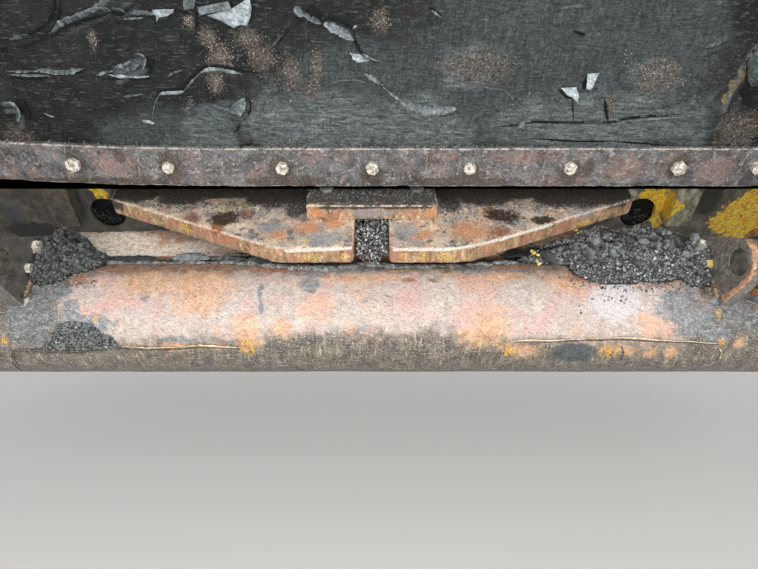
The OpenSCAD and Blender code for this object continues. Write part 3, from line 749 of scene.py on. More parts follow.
def mount(name, mesh, finish_name, body, slot, *replaced):
    """Makes a mesh a piece of the object that rides on a body."""
    piece = bpy.data.objects.new(name, mesh)
    bpy.context.scene.collection.objects.link(piece)
    mesh.materials.append(material(finish_name))
    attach(piece, body)
    if replaced:
        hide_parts(*replaced)
    return piece


def settle(name, bm, finish_name, body, slot, *replaced, smooth=True):
    """Turns a bmesh into a piece of the object."""
    mesh = bpy.data.meshes.new(name)
    bm.to_mesh(mesh)
    bm.free()
    if smooth:
        mesh.shade_smooth()
    return mount(name, mesh, finish_name, body, slot, *replaced)


def thicken(bm, thickness):
    """Gives a skin its thickness, its faces outwards."""
    bmesh.ops.solidify(bm, geom=bm.faces[:], thickness=thickness)
    bmesh.ops.recalc_face_normals(bm, faces=bm.faces[:])


def close_ends(bm):
    """Joins the seam of a rolled-up grid and fills its open ends, its faces outwards."""
    bmesh.ops.remove_doubles(bm, verts=bm.verts[:], dist=0.05 * MM)
    bmesh.ops.holes_fill(bm, edges=[e for e in bm.edges if e.is_boundary], sides=0)
    bmesh.ops.recalc_face_normals(bm, faces=bm.faces[:])


# Depth of the dents in the worn plates
PLATE_DENT = 0.7 * MM


def slice_up(bm, cell):
    """Cuts a solid into cells of about that size along each axis."""
    for axis in range(3):
        places = [v.co[axis] for v in bm.verts]
        low = min(places)
        span = max(places) - low
        count = math.ceil(span / cell)
        across = Vector([1.0 if i == axis else 0.0 for i in range(3)])
        for i in range(1, count):
            geometry = bm.verts[:] + bm.edges[:] + bm.faces[:]
            bmesh.ops.bisect_plane(bm, geom=geometry, dist=1e-6, plane_co=across * (low + span * i / count),
                                   plane_no=across)


def worn_bmesh(node, cell, bevel, dent):
    """A node's shape with rounded, dented edges, cut into cells, and its worn edges marked."""
    bm = bmesh.new()
    bm.from_mesh(frame["nodes"][node].data)
    bmesh.ops.remove_doubles(bm, verts=bm.verts[:], dist=1e-5)
    bmesh.ops.dissolve_limit(bm, angle_limit=math.radians(1), verts=bm.verts[:], edges=bm.edges[:])
    corners = [e for e in bm.edges if len(e.link_faces) == 2 and e.calc_face_angle() > math.radians(30)]
    rim = bm.faces.layers.int.new("rim")
    made = bmesh.ops.bevel(bm, geom=corners, offset=bevel, offset_type="OFFSET", segments=2, profile=0.5,
                           affect="EDGES", material=-1, clamp_overlap=True)
    for face in made["faces"]:
        face[rim] = 1
    slice_up(bm, cell)
    edge = bm.verts.layers.float.new("edge")
    bm.normal_update()
    for v in bm.verts:
        v[edge] = 1.0 if any(f[rim] for f in v.link_faces) else 0.0
        broad = noise.noise(v.co * 28)
        small = noise.noise(v.co * 130)
        bite = min(0.0, noise.noise(v.co * 75 + Vector((3, 5, 7))) + 0.1) * v[edge]
        v.co += v.normal * (dent * (0.6 * broad + 0.4 * small) + 3 * dent * bite)
    return bm


def tube_top(x, y):
    """Height of the push tube's upper side."""
    return TUBE_Z + math.sqrt(max(TUBE_R ** 2 - (y - TUBE_Y) ** 2, 0))


def ground(x, y):
    """Height of the beam's top surface: the tube's crown, or the shelf behind it."""
    if SHELF_LO.y <= y <= SHELF_HI.y and abs(x) < SHELF_HI.x:
        return max(tube_top(x, y), SHELF_HI.z)
    return tube_top(x, y)


def wing_front(x):
    """How far forward the wings reach at a distance from the middle."""
    return WING_LO.y + max(0.0, abs(x) - WING_KNEE) * WING_TAPER


# How many shapes of crumb there are in a scattering
CRUMB_KINDS = 12


def crumb_shapes(rng):
    """Corner and face arrays of a few broken stones, each from a jittered icosphere."""
    shapes = []
    for _ in range(CRUMB_KINDS):
        bm = bmesh.new()
        bmesh.ops.create_icosphere(bm, subdivisions=1, radius=1.0)
        stretch = rng.uniform(0.6, 1.2, 3)
        for v in bm.verts:
            v.co = Vector(np.array(v.co) * stretch * rng.uniform(0.78, 1.15))
        shapes.append(np.array([v.co for v in bm.verts]))
        faces = np.array([[v.index for v in f.verts] for f in bm.faces])
        bm.free()
    return np.array(shapes), faces


def scatter(name, places, sizes, body, rng, finish_name="asphalt", slot="dark_steel", pale=1.0):
    """Crumbs at the places given, joined as one mesh, each with a tone of its own."""
    shapes, faces = crumb_shapes(rng)
    places = np.array(places)
    sizes = np.array(sizes)
    kinds = rng.integers(0, len(shapes), len(places))
    turns = rng.normal(size=(len(places), 4))
    turns /= np.linalg.norm(turns, axis=1)[:, None]
    w, x, y, z = turns.T
    spin = np.stack([1 - 2 * (y * y + z * z), 2 * (x * y - z * w), 2 * (x * z + y * w),
                     2 * (x * y + z * w), 1 - 2 * (x * x + z * z), 2 * (y * z - x * w),
                     2 * (x * z - y * w), 2 * (y * z + x * w), 1 - 2 * (x * x + y * y)], 1).reshape(-1, 3, 3)
    corners = np.einsum("nij,nkj->nki", spin, shapes[kinds]) * sizes[:, None, None] + places[:, None, :]
    per = corners.shape[1]
    all_faces = (faces[None] + (np.arange(len(places)) * per)[:, None, None]).reshape(-1, 3)
    mesh = bpy.data.meshes.new(name)
    mesh.from_pydata(corners.reshape(-1, 3).tolist(), [], all_faces.tolist())
    mesh.validate()
    tones = np.repeat(np.minimum(1.0, pale * rng.random(len(places))), per)
    mesh.attributes.new("tone", "FLOAT", "POINT").data.foreach_set("value", tones)
    mount(name, mesh, finish_name, body, slot)


# Piles of asphalt on the beam: pixel x and y of the middle, half length, half depth and height in mm
PILES_LEFT = ((64, 258, 54, 38, 46), (50, 274, 38, 26, 26), (84, 262, 34, 30, 28), (36, 262, 30, 36, 44),
              (62, 246, 44, 28, 54), (94, 254, 20, 18, 14))
PILES_RIGHT = ((610, 252, 118, 42, 40), (655, 262, 80, 44, 40), (688, 262, 36, 44, 44),
               (570, 252, 66, 28, 24), (640, 240, 70, 26, 46), (612, 272, 62, 30, 20), (650, 274, 50, 22, 16),
               (694, 276, 32, 26, 20), (548, 256, 44, 20, 14), (598, 236, 40, 20, 40))
# The largest lumps on the piles: pixel x and y, and radius in mm
LUMPS_LEFT = ((70, 238, 4.5), (52, 250, 5), (88, 248, 5), (60, 262, 5), (78, 262, 4), (40, 262, 5))
LUMPS_RIGHT = ((549, 252, 11), (594, 246, 9), (653, 241, 10), (671, 240, 10), (624, 232, 7), (640, 249, 7),
               (664, 250, 8), (632, 241, 7), (606, 237, 8), (690, 248, 7), (578, 241, 7), (586, 232, 6),
               (646, 231, 6), (617, 246, 6), (560, 247, 6), (682, 262, 6), (600, 228, 6), (660, 229, 7))
# Heights at which the photograph's pixels are read on the beam
PILE_LEVEL = 45 * MM
LUMP_LEVEL = PILE_LEVEL + 18 * MM
CHIP_LEVEL = 52 * MM
GUNK_LEVEL = 42 * MM
FILM_LEVEL = 36 * MM
# Swings of the beam, in degrees, at which what lies on it passes under the wings, and the room it leaves
SWINGS = (-5.2, -4, -3, -2, -1, 0, 1, 2, 3, 4, 5.2)
ROOM_ROUND = 6 * MM
ROOM_UNDER = 0.8 * MM


def on_level(px, py, z):
    """Where a pixel's ray passes a height."""
    ray = photo_ray(px, py)
    return CAMERA_AT + ray * ((z - CAMERA_AT.z) / ray.z)


def piled(table, level):
    """A table's piles in metres: middle, half length, half depth and height."""
    return [(on_level(px, py, level), hx * MM, hy * MM, hz * MM) for px, py, hx, hy, hz in table]


def pile_depth(x, y, piles):
    """How deep the asphalt lies at a place."""
    deep = 0.0
    for middle, half_x, half_y, high in piles:
        gone = ((x - middle.x) / half_x) ** 2 + ((y - middle.y) / half_y) ** 2
        if gone < 1:
            deep = max(deep, high * (1 - gone) ** 0.6)
    if deep <= 0:
        return 0.0
    rough = noise.fractal(Vector((x, y, 0)) * 40, 1.0, 2.0, 3)
    return max(0.0, deep * (0.85 + 0.3 * rough))


def headroom(x, y):
    """How high anything on the beam may reach at a place, to pass under the wings as the beam swings."""
    for degrees in SWINGS:
        turn = math.radians(degrees)
        far = abs(x * math.cos(turn) - (y - PIN_Y) * math.sin(turn))
        deep = PIN_Y + x * math.sin(turn) + (y - PIN_Y) * math.cos(turn)
        if far < WING_HI.x + ROOM_ROUND and deep > wing_front(far) - ROOM_ROUND:
            return WING_LO.z - ROOM_UNDER
    return 1.0


def ducked(x, y, z, size):
    """The place of a crumb on the beam, kept low enough to pass under the wings."""
    return x, y, min(z, headroom(x, y) - 1.4 * size)


def bed(name, piles, limits, floor, finish_name, cell=4 * MM):
    """The lumpy closed layer under a heap, or a layer of its own."""
    x0, x1, y0, y1 = limits
    bm = bmesh.new()
    bmesh.ops.create_grid(bm, x_segments=int((x1 - x0) / cell), y_segments=int((y1 - y0) / cell), size=0.5)
    depths = {}
    for v in bm.verts:
        x = x0 + (v.co.x + 0.5) * (x1 - x0)
        y = y0 + (v.co.y + 0.5) * (y1 - y0)
        depths[v] = pile_depth(x, y, piles)
        lump = 0.6 * MM * noise.noise(Vector((x, y, 2)) * 260)
        v.co = Vector((x, y, min(floor(x, y) + depths[v] * 0.9 - 0.5 * MM + lump, headroom(x, y) - 1 * MM)))
    bare = []
    for v in bm.verts:
        if max(depths[v], *(depths[e.other_vert(v)] for e in v.link_edges)) <= 0:
            bare.append(v)
    bmesh.ops.delete(bm, geom=bare, context="VERTS")
    thicken(bm, 2 * MM)
    settle(name, bm, finish_name, "beam", "dark_steel")


def heap(name, table, lumps, rng, limits, count, pale):
    """A heap of asphalt: a lumpy bed, crumbs lying on it, coarser at its back, and lumps on top."""
    x0, x1, y0, y1 = limits
    piles = piled(table, PILE_LEVEL)
    bed(name + "_bed", piles, limits, ground, "asphalt")
    places = []
    sizes = []
    while len(places) < count:
        x = rng.uniform(x0, x1)
        y = rng.uniform(y0, y1)
        deep = pile_depth(x, y, piles)
        if deep < 2 * MM:
            continue
        coarse = 1.5 + 2.2 * (y - y0) / (y1 - y0)
        size = (0.8 + coarse * rng.random() ** 2) * MM
        places.append(ducked(x, y, ground(x, y) + deep * 0.9 + size * rng.uniform(-0.2, 0.7), size))
        sizes.append(size)
    scatter(name + "_crumbs", places, sizes, "beam", rng, pale=pale)

    places = []
    sizes = []
    for px, py, radius in lumps:
        at = on_level(px, py, LUMP_LEVEL)
        size = 1.2 * (radius * MM)
        z = ground(at.x, at.y) + pile_depth(at.x, at.y, piles) + 0.3 * size
        places.append(ducked(at.x, at.y, z, size))
        sizes.append(size)
    # Smaller lumps, twelve in all for each large one
    while len(places) < 12 * len(lumps):
        x = rng.uniform(x0, x1)
        y = y0 + (y1 - y0) * rng.uniform(0.3, 1)
        deep = pile_depth(x, y, piles)
        if deep > 10 * MM:
            size = rng.uniform(3.2, 6.0) * MM
            places.append(ducked(x, y, ground(x, y) + deep + 0.1 * size, size))
            sizes.append(size)
    scatter(name + "_lumps", places, sizes, "beam", rng, pale=0.85 * pale)


# Cells round a weld bead
BEAD_SIDES = 9


def weld(name, path, width, body, rng):
    """A weld bead along a path, as a piece: a rounded run with ripples, closed at its ends."""
    points = []
    for start, end in zip(path, path[1:]):
        count = max(1, int((end - start).length / (1.4 * MM)))
        points += [start.lerp(end, i / count) for i in range(count)]
    points.append(path[-1])
    last = len(points) - 1
    bm = bmesh.new()
    bmesh.ops.create_grid(bm, x_segments=last, y_segments=BEAD_SIDES, size=0.5)
    phase = rng.uniform(0, 9)
    for v in bm.verts:
        i = min(last, max(0, round((v.co.x + 0.5) * last)))
        turn = (v.co.y + 0.5) * 2 * math.pi
        ahead = (points[min(last, i + 2)] - points[max(0, i - 2)]).normalized()
        side = ahead.orthogonal().normalized()
        up = ahead.cross(side)
        ripple = 1 + 0.13 * math.sin(i * 2.1 + 0.5 * math.sin(i * 0.31))
        ripple += 0.2 * noise.noise(Vector((i * 0.16, phase, 0)))
        closing = min(1.0, 0.15 + i / 3, 0.15 + (last - i) / 3)
        v.co = points[i] + (side * math.cos(turn) + up * math.sin(turn)) * (width / 2 * ripple * closing)
    close_ends(bm)
    settle(name, bm, "weld", body, "dark_steel")


def hexagon_head(bm, at, out, flats, high, turn):
    """A chamfered bolt head standing out of a face."""
    lean = Vector((0, 0, 1)).rotation_difference(out).to_matrix().to_4x4()
    where = Matrix.Translation(at + out * (high / 2 - 0.5 * MM)) @ lean @ Matrix.Rotation(turn, 4, "Z")
    made = bmesh.ops.create_cone(bm, cap_ends=True, segments=6, radius1=flats / math.sqrt(3),
                                 radius2=flats / math.sqrt(3), depth=high, matrix=where)
    edges = {e for v in made["verts"] for e in v.link_edges}
    made = bmesh.ops.bevel(bm, geom=list(edges), offset=flats * 0.08, offset_type="OFFSET", segments=2,
                           profile=0.5, affect="EDGES", material=-1)
    for v in made["verts"]:
        v.co += v.normal * 0.4 * MM * noise.noise(v.co * 200)


# Relief on the flap: kind, width mm, height mm, pixels along it
# A ridge is a fold, a groove a dip, and a step a torn layer that lies higher on its left as it is followed.
FLAP_RELIEF = (
    ("step", 60, 7, ((-40, 43), (12, 40), (30, 35), (41, 30), (50, 22), (56, 14), (58, 0), (58, -30))),
    ("ridge", 7, 1.2, ((161, 20), (156, 35), (150, 50), (148, 57))),
    ("ridge", 10, 3, ((118, 10), (128, 4), (136, -4))),
    ("ridge", 12, 3, ((60, 30), (74, 20), (92, 13), (108, 6))),
    ("step", 16, 3.4, ((262, 75), (245, 74), (229, 71), (219, 68), (209, 69), (201, 72), (195, 78), (189, 85),
                       (184, 91), (177, 92), (167, 92), (160, 93), (157, 98), (154, 106), (153, 118))),
    ("step", 50, 3, ((170, 131), (188, 132), (206, 132), (226, 130), (235, 127), (235, 120), (241, 116),
                     (247, 109), (247, 103), (245, 96))),
    ("step", 16, 2, ((150, 75), (110, 75), (84, 71), (67, 73), (42, 71), (5, 72))),
    ("ridge", 12, 5, ((118, 72), (130, 66), (142, 62))),
    ("ridge", 8, 5, ((5, 103), (14, 103), (19, 107), (21, 114), (20, 120))),
    ("groove", 9, 5, ((14, 96), (21, 101), (26, 110), (30, 119))),
    ("groove", 8, 4, ((149, 56), (150, 72))),
    ("step", 22, 4, ((354, 40), (342, 35), (326, 24), (312, 19), (296, 8))),
    ("step", 16, 2.4, ((364, 73), (382, 86), (391, 95), (406, 108), (425, 115), (449, 114), (458, 110))),
    ("groove", 4, 2, ((285, 35), (303, 19))),
    ("ridge", 12, 2.4, ((269, 50), (280, 36), (290, 22), (298, 8))),
    ("ridge", 16, 1.4, ((327, 86), (340, 80), (358, 80), (370, 85))),
    ("step", 26, 2.2, ((700, 113), (656, 115), (629, 118), (609, 122), (575, 122), (535, 121), (515, 124),
                       (490, 126))),
    ("step", 14, 1.6, ((510, 143), (530, 138), (542, 139), (575, 141), (609, 141), (642, 143), (669, 146),
                       (700, 146))),
    ("ridge", 6, 2, ((567, 34), (571, 22), (574, 6))),
    ("ridge", 9, 2, ((680, 18), (700, 14), (735, 2))),
    ("ridge", 9, 3, ((703, 46), (718, 41), (730, 36))),
    ("step", 26, 9, ((722, 108), (730, 88), (740, 66), (752, 44), (764, 22), (774, -10))),
    ("ridge", 12, 6, ((724, 100), (732, 84), (742, 66), (752, 48))),
    ("groove", 18, 9, ((746, 88), (752, 102), (758, 116))),
)
# Curled lips: width px, height mm, paleness, free side (1 above, -1 below), pixels along it
FLAP_LIPS = (
    (5, 5, 0.45, 1, ((48, 34), (54, 32), (59, 26), (65, 21), (74, 18.5), (85, 14), (96, 9.5), (106, 7.5),
                     (113, 11.5))),
    (6, 5, 0.3, 1, ((94, 10), (103, 5), (110, -3))),
    (2.6, 3, 0.45, 1, ((112, 8), (121, 9), (129, 14.5))),
    (4, 2, 0.25, -1, ((129, 13), (142, 12), (155, 14))),
    (1.8, 1.5, 0.5, -1, ((123, 19), (144, 17.5))),
    (4.4, 3, 0.5, -1, ((34, 70.8), (43, 69.2), (53, 71), (67, 72), (76, 69.8), (85, 68))),
    (1.8, 1.5, 0.4, -1, ((7, 70.8), (20, 70.6), (37, 70.6))),
    (2.2, 2, 0.5, -1, ((10, 73.4), (30, 74.5), (49, 74.5), (53, 76.8))),
    (2.4, 2, 0.75, -1, ((109, 74), (122, 74.8), (136, 75.8), (150, 75.8))),
    (4, 4, 0.6, 1, ((115, 68), (121, 65.5), (127, 64.5), (132, 60))),
    (2.8, 4, 0.55, 1, ((134, 55), (140, 53.4), (146, 57), (145.6, 63), (142.5, 70.5))),
    (5, 4, 0.15, -1, ((121, 71), (131, 68), (141, 63))),
    (2.2, 1.5, 0.5, -1, ((97, 74.5), (106, 72), (115, 69.6))),
    (3.2, 3, 0.8, 1, ((159.5, 93.4), (167, 92), (177, 92.2), (184.5, 90.6))),
    (2.2, 2.6, 0.45, 1, ((184.5, 90.6), (189, 85.4), (195, 78.4), (201, 72.6))),
    (3.2, 3, 0.7, 1, ((200, 72.8), (208.5, 69), (218.5, 68.6), (229, 70.9), (242, 73.4))),
    (1.6, 1.6, 0.4, 1, ((160, 94), (156.5, 100), (154, 109), (153.4, 118))),
    (1.8, 1, 0.5, 1, ((168, 77), (173, 73), (182, 70.3))),
    (2.8, 2, 1.0, -1, ((143, 120), (156, 121.5))),
    (4, 5, 0.55, 1, ((5, 101.5), (13.7, 101.5), (19.5, 105.5), (21.8, 113), (20, 120))),
    (1.8, 1, 0.6, -1, ((45, 111.8), (50, 114.5), (56, 116))),
    (2, 1, 0.45, -1, ((124, 96), (134, 94.4), (144, 93.4))),
    (6, 4, 0.7, -1, ((295, 6), (299, 11), (303.5, 15.5))),
    (4.4, 4, 0.55, -1, ((303, 13.5), (312, 18), (322, 23.4))),
    (7, 5, 0.7, -1, ((324, 23), (336, 28.5), (345, 33), (354, 39.6))),
    (5.4, 3, 0.9, -1, ((350, 52), (356, 56.4), (362, 58.6), (369.5, 59.8))),
    (2.2, 2, 0.6, -1, ((362, 53), (370, 57.2), (380, 61))),
    (2.4, 3, 0.85, 1, ((353, 29), (357, 25.5))),
    (4.2, 3, 0.6, -1, ((364.5, 72.4), (373, 77.6), (383, 84.6))),
    (2.4, 2, 0.6, -1, ((383, 86), (391, 93.3), (402, 100.3))),
    (9.5, 3, 0.62, -1, ((399, 101), (412, 106.6), (425, 109.6), (440, 109.8), (457, 107.6))),
    (5, 1.2, 0.35, -1, ((429, 118), (443, 118.8), (456, 115.8))),
    (2, 1, 0.25, -1, ((327, 84.8), (339.5, 79.4), (357.7, 79.4), (370, 84))),
    (1.8, 1.5, 0.55, -1, ((431, 10), (441, 17))),
    (2.2, 1.6, 0.6, -1, ((628, 119.8), (656, 117.2), (684, 115.2))),
    (3.6, 3, 0.5, -1, ((515.5, 127.5), (521, 122.8), (527.5, 118))),
    (3, 2, 0.5, -1, ((519, 126), (533, 127.4), (550, 129.8))),
    (1.4, 1, 0.4, -1, ((460, 88), (480, 86.4), (507, 90))),
    (1.8, 1, 0.5, -1, ((507, 92), (513, 98.4), (521, 106.4))),
    (4, 2, 0.45, -1, ((703, 46.5), (711, 43.6), (720, 41))),
    (3.4, 1.4, 0.35, -1, ((212, 105), (224, 108), (234, 111), (241, 116))),
    (3, 1.4, 0.35, 1, ((560, 9), (575, 6), (590, 7))),
    (2.2, 1.2, 0.4, 1, ((604, 64.5), (607, 60.6), (616, 60))),
    (3, 2, 0.3, 1, ((640, 142), (655, 140.4), (680, 141.6))),
    (2.4, 2, 0.3, 1, ((270, 50), (276, 42), (284, 33))),
    (5, 4, 0.35, 1, ((741, 70), (748, 56), (757, 42))),
    (2.2, 1.4, 0.4, 1, ((190, 131.4), (206, 131.6), (226, 129.8), (235, 126.6), (236.4, 121), (241, 116.4),
                        (247, 109))),
)
# Open cracks, drawn as black strips of painted shade laid in them: width px, pixels along it
FLAP_CRACK_SHADES = (
    (2.6, ((58, -6), (57.4, 13), (51, 24), (41, 31.4), (22, 40), (0, 43.5))),
    (2, ((52, 38), (62, 29), (75, 23), (92, 17.4), (112, 13.8))),
    (4.6, ((112, 12), (120, 13.6), (127, 16))),
    (2, ((175.5, 10.5), (184, 11.5), (192, 14.8))),
    (3, ((197, 12), (196.4, 27.5))),
    (1.8, ((58, 75), (74, 72.6), (87, 69.8))),
    (2, ((10, 77.4), (30, 78), (48, 77.6))),
    (6.5, ((149, 55), (150.4, 64), (149, 73))),
    (1.5, ((108, 78), (130, 78.6), (151, 78))),
    (2.6, ((156, 97.4), (159, 91), (167, 89.2), (177, 89.4), (183, 87.6), (187, 82.4), (193, 75.2),
           (199.4, 69), (208, 66), (219, 65.6), (230, 68), (246, 71.6), (262, 73.4))),
    (2.4, ((187, 134.4), (206, 134.4), (226, 133), (238, 129.6), (239.6, 122), (245, 117.6), (250.4, 110.8),
           (250.6, 103.4), (247.4, 95.6))),
    (7.5, ((14.5, 95.5), (21, 100.5), (26.6, 110), (29.6, 119.6))),
    (8, ((306, 9.4), (314, 12.6), (321.5, 18.6))),
    (3.2, ((327, 17.6), (337, 19.2), (346, 23.6), (354.6, 30.6))),
    (2.8, ((353.8, 31), (354.8, 40), (360.4, 51), (369, 58.4), (376, 61.4))),
    (2.2, ((362, 72), (373, 80.6), (382, 87), (390.4, 96), (406, 109.4), (425.6, 116), (448.6, 115.6),
           (458, 111))),
    (1.8, ((285, 35), (294, 27.4), (303, 19.4))),
    (1.4, ((270, 50), (278, 42), (285, 35))),
    (1.9, ((429.6, 7.4), (441.6, 15.4))),
    (1.7, ((493, 126.3), (515, 124.3), (524, 122.5), (535, 121.4), (575, 122), (595, 121.4), (609, 122),
           (629, 117.4), (656, 114.8), (684, 113.2))),
    (1.9, ((514, 142), (530, 138), (542, 139), (575, 141), (609, 141), (642, 143), (669, 145.8),
           (692, 145.2))),
    (3, ((604.6, 99), (606, 112), (608, 121))),
    (1.1, ((572, 98), (573, 110), (573.4, 121))),
    (2, ((558, 88.6), (566, 97), (572, 98.6))),
    (2.6, ((573, 31), (579, 33), (585.6, 35))),
    (3, ((586, 77), (584, 84), (583.6, 89.5))),
    (10, ((744, 86), (750, 96), (752, 108))),
    (2.4, ((230, -1), (234, 9), (208, 15.6))),
)
# Loose flakes: paleness, how far the free side stands off in mm, pixel outline with the root side first
FLAKES = (
    (0.95, 3, ((153.6, 9.6), (162, 8.8), (175.6, 9), (175, 12), (168, 16), (160, 17.4), (154, 14))),
    (0.9, 3, ((156, 16), (160, 16), (159, 21.5))),
    (0.55, 6, ((198.4, 7), (215, 3.6), (229.6, 1), (233.8, 8.6), (215, 12.4), (201, 15))),
    (0.85, 8, ((208, 15.2), (222, 11), (233.6, 7.7), (247.6, -1), (251.5, -3), (253.4, 8.4), (252, 17),
               (249, 25), (242, 24), (235, 27.4), (228, 24), (221, 20))),
    (1.0, 5, ((560.4, 87.4), (575.6, 86.6), (578.2, 93.5), (576, 102), (571.3, 96.2), (567.3, 95.5))),
    (0.95, 5, ((586.6, 73.4), (599, 72.6), (590, 89), (584.4, 88))),
    (0.45, 3, ((233, 103), (240, 99), (245.4, 96.4), (247, 103), (246, 109), (241, 115.6), (236, 111),
               (231, 108))),
    (0.4, 3, ((13, 38), (22, 33), (31, 32.5), (33, 35), (24, 39))),
    (0.35, 4, ((184, -6), (197, -6), (196, 8), (186, 9.5))),
    (0.1, 4, ((742, 60), (749, 52), (757, 50), (757, 84), (750, 88), (746, 76))),
)
# Lips of rolled steel on the push tube: width px, height mm, paleness, free side, pixels along it
TUBE_LIPS = (
    (1.8, 1.4, 0.2, 1, ((12, 350.6), (22, 349), (50, 350.4), (76, 351), (98, 348.6), (122, 346))),
    (1.6, 1.4, 0.75, 1, ((122, 346), (135, 346.8), (150, 347.8), (176, 346.6))),
    (2.0, 1.6, 0.9, 1, ((184, 346.4), (200, 344.8), (216, 345.8), (238, 347.4))),
    (1.4, 1.0, 0.5, 1, ((232, 346.4), (250, 347.6), (262, 346))),
    (1.5, 1.2, 1.0, 1, ((512, 340.8), (530, 339.8), (552, 340.6), (572, 339))),
    (1.3, 1.0, 0.7, 1, ((570, 339.6), (590, 338.4), (606, 338.4))),
    (1.8, 1.3, 0.9, 1, ((614, 337.4), (640, 338), (660, 340.2), (672, 340))),
    (1.3, 1.0, 0.6, 1, ((668, 341), (690, 341.2), (706, 342.8), (722, 343))),
    (1.6, 1.2, 0.3, 1, ((11, 350), (10.6, 357), (14, 365), (22, 371))),
    (1.6, 1.2, 0.5, 1, ((716, 345), (721, 351), (719, 358), (714, 362))),
    (1.8, 1.0, 0.0, 1, ((621, 345), (623, 352), (620, 361))),
    # Dark strips of paleness 0 lying flat just under the pale lips: painted shadow of the lips
    (1.8, 0.3, 0.0, 1, ((12, 352.6), (22, 351.2), (50, 352.6), (76, 353.2), (98, 350.6), (122, 348.2),
                        (150, 349.4), (176, 349), (200, 347.2), (240, 348.8))),
    (1.3, 0.3, 0.0, 1, ((514, 342.2), (545, 342.2), (580, 340.4), (620, 339.4), (660, 341.6), (690, 342.8),
                        (720, 345))),
    (1.4, 0.3, 0.0, 1, ((14, 351), (13.6, 357), (17, 364), (24, 369))),
)
# Torn film of dried emulsion along the shelf's front: the same columns
FILM_LIPS = (
    (12, 3, 0.3, 1, ((104, 259), (122, 260), (140, 259), (158, 258.5))),
    (18, 3, 1.0, 1, ((171, 258), (184, 257), (198, 257.5), (210, 259))),
    (12, 3, 0.75, 1, ((211, 260), (222, 258.6), (232, 260), (247, 260))),
    (16, 4, 0.9, 1, ((246, 262), (258, 260), (270, 262.6), (286, 265))),
    (12, 3, 0.5, 1, ((280, 266.6), (300, 269), (322, 270), (350, 269))),
    (9, 2, 0.45, 1, ((500, 253), (512, 253.8), (530, 252.6))),
)


def line_distance(xs, rises, points):
    """Distance from grid points to a polyline on the flap, and which side they lie on."""
    best = np.full(xs.shape, 1e9)
    side = np.zeros(xs.shape)
    for (ax, ar), (bx, br) in zip(points, points[1:]):
        dx = bx - ax
        dr = br - ar
        along_it = np.clip(((xs - ax) * dx + (rises - ar) * dr) / (dx * dx + dr * dr + 1e-12), 0, 1)
        off_x = xs - ax - along_it * dx
        off_r = rises - ar - along_it * dr
        away = np.hypot(off_x, off_r)
        nearer = away < best
        best = np.where(nearer, away, best)
        side = np.where(nearer, np.sign(dx * off_r - dr * off_x), side)
    return best, side


def flap_relief(xs, rises):
    """How far the flap's skin stands out at places on it, and how sharp its ridges are there, which lightens
    them as wear and painted highlight.
    """
    lift = np.zeros(xs.shape)
    ridge_wear_and_highlight = np.zeros(xs.shape)
    for kind, width, high, pixels in FLAP_RELIEF:
        away, side = line_distance(xs, rises, [on_flap(px, py) for px, py in pixels])
        w = width * MM
        h = high * MM
        if kind == "step":
            lift += h * (side > 0) * np.exp(-away / w)
            continue
        shape = np.exp(-(away / w * 1.5) ** 2)
        lift += h * shape if kind == "ridge" else -0.6 * h * shape
        # Sharp ridges are lightened in colour: wear, and painted highlight
        if kind == "ridge":
            ridge_wear_and_highlight = np.maximum(ridge_wear_and_highlight, shape * min(1.0, high / 6))
    broad = np.array([noise.fractal(Vector((x * 5, r * 7, 1)), 1.0, 2.0, 3) for x, r in zip(xs, rises)])
    small = np.array([noise.fractal(Vector((x * 40, r * 80, 4)), 1.0, 2.0, 3) for x, r in zip(xs, rises)])
    free = np.clip(rises / (25 * MM), 0, 1)
    return (lift + 2.4 * MM * broad + 0.45 * MM * small) * free, ridge_wear_and_highlight * free


def tube_point(x, arc, lift=0.0):
    """The point that far up the push tube's front, from its foremost line, lifted off it by a little."""
    turn = arc / TUBE_R
    out = TUBE_R + lift
    return Vector((x, TUBE_Y - out * math.cos(turn), TUBE_Z + out * math.sin(turn)))


def on_tube(px, py):
    """Where a pixel's ray meets the push tube, as (x, arc up from its foremost line)."""
    at = touched(px, py, "push_tube")
    return at.x, math.atan2(at.z - TUBE_Z, TUBE_Y - at.y) * TUBE_R


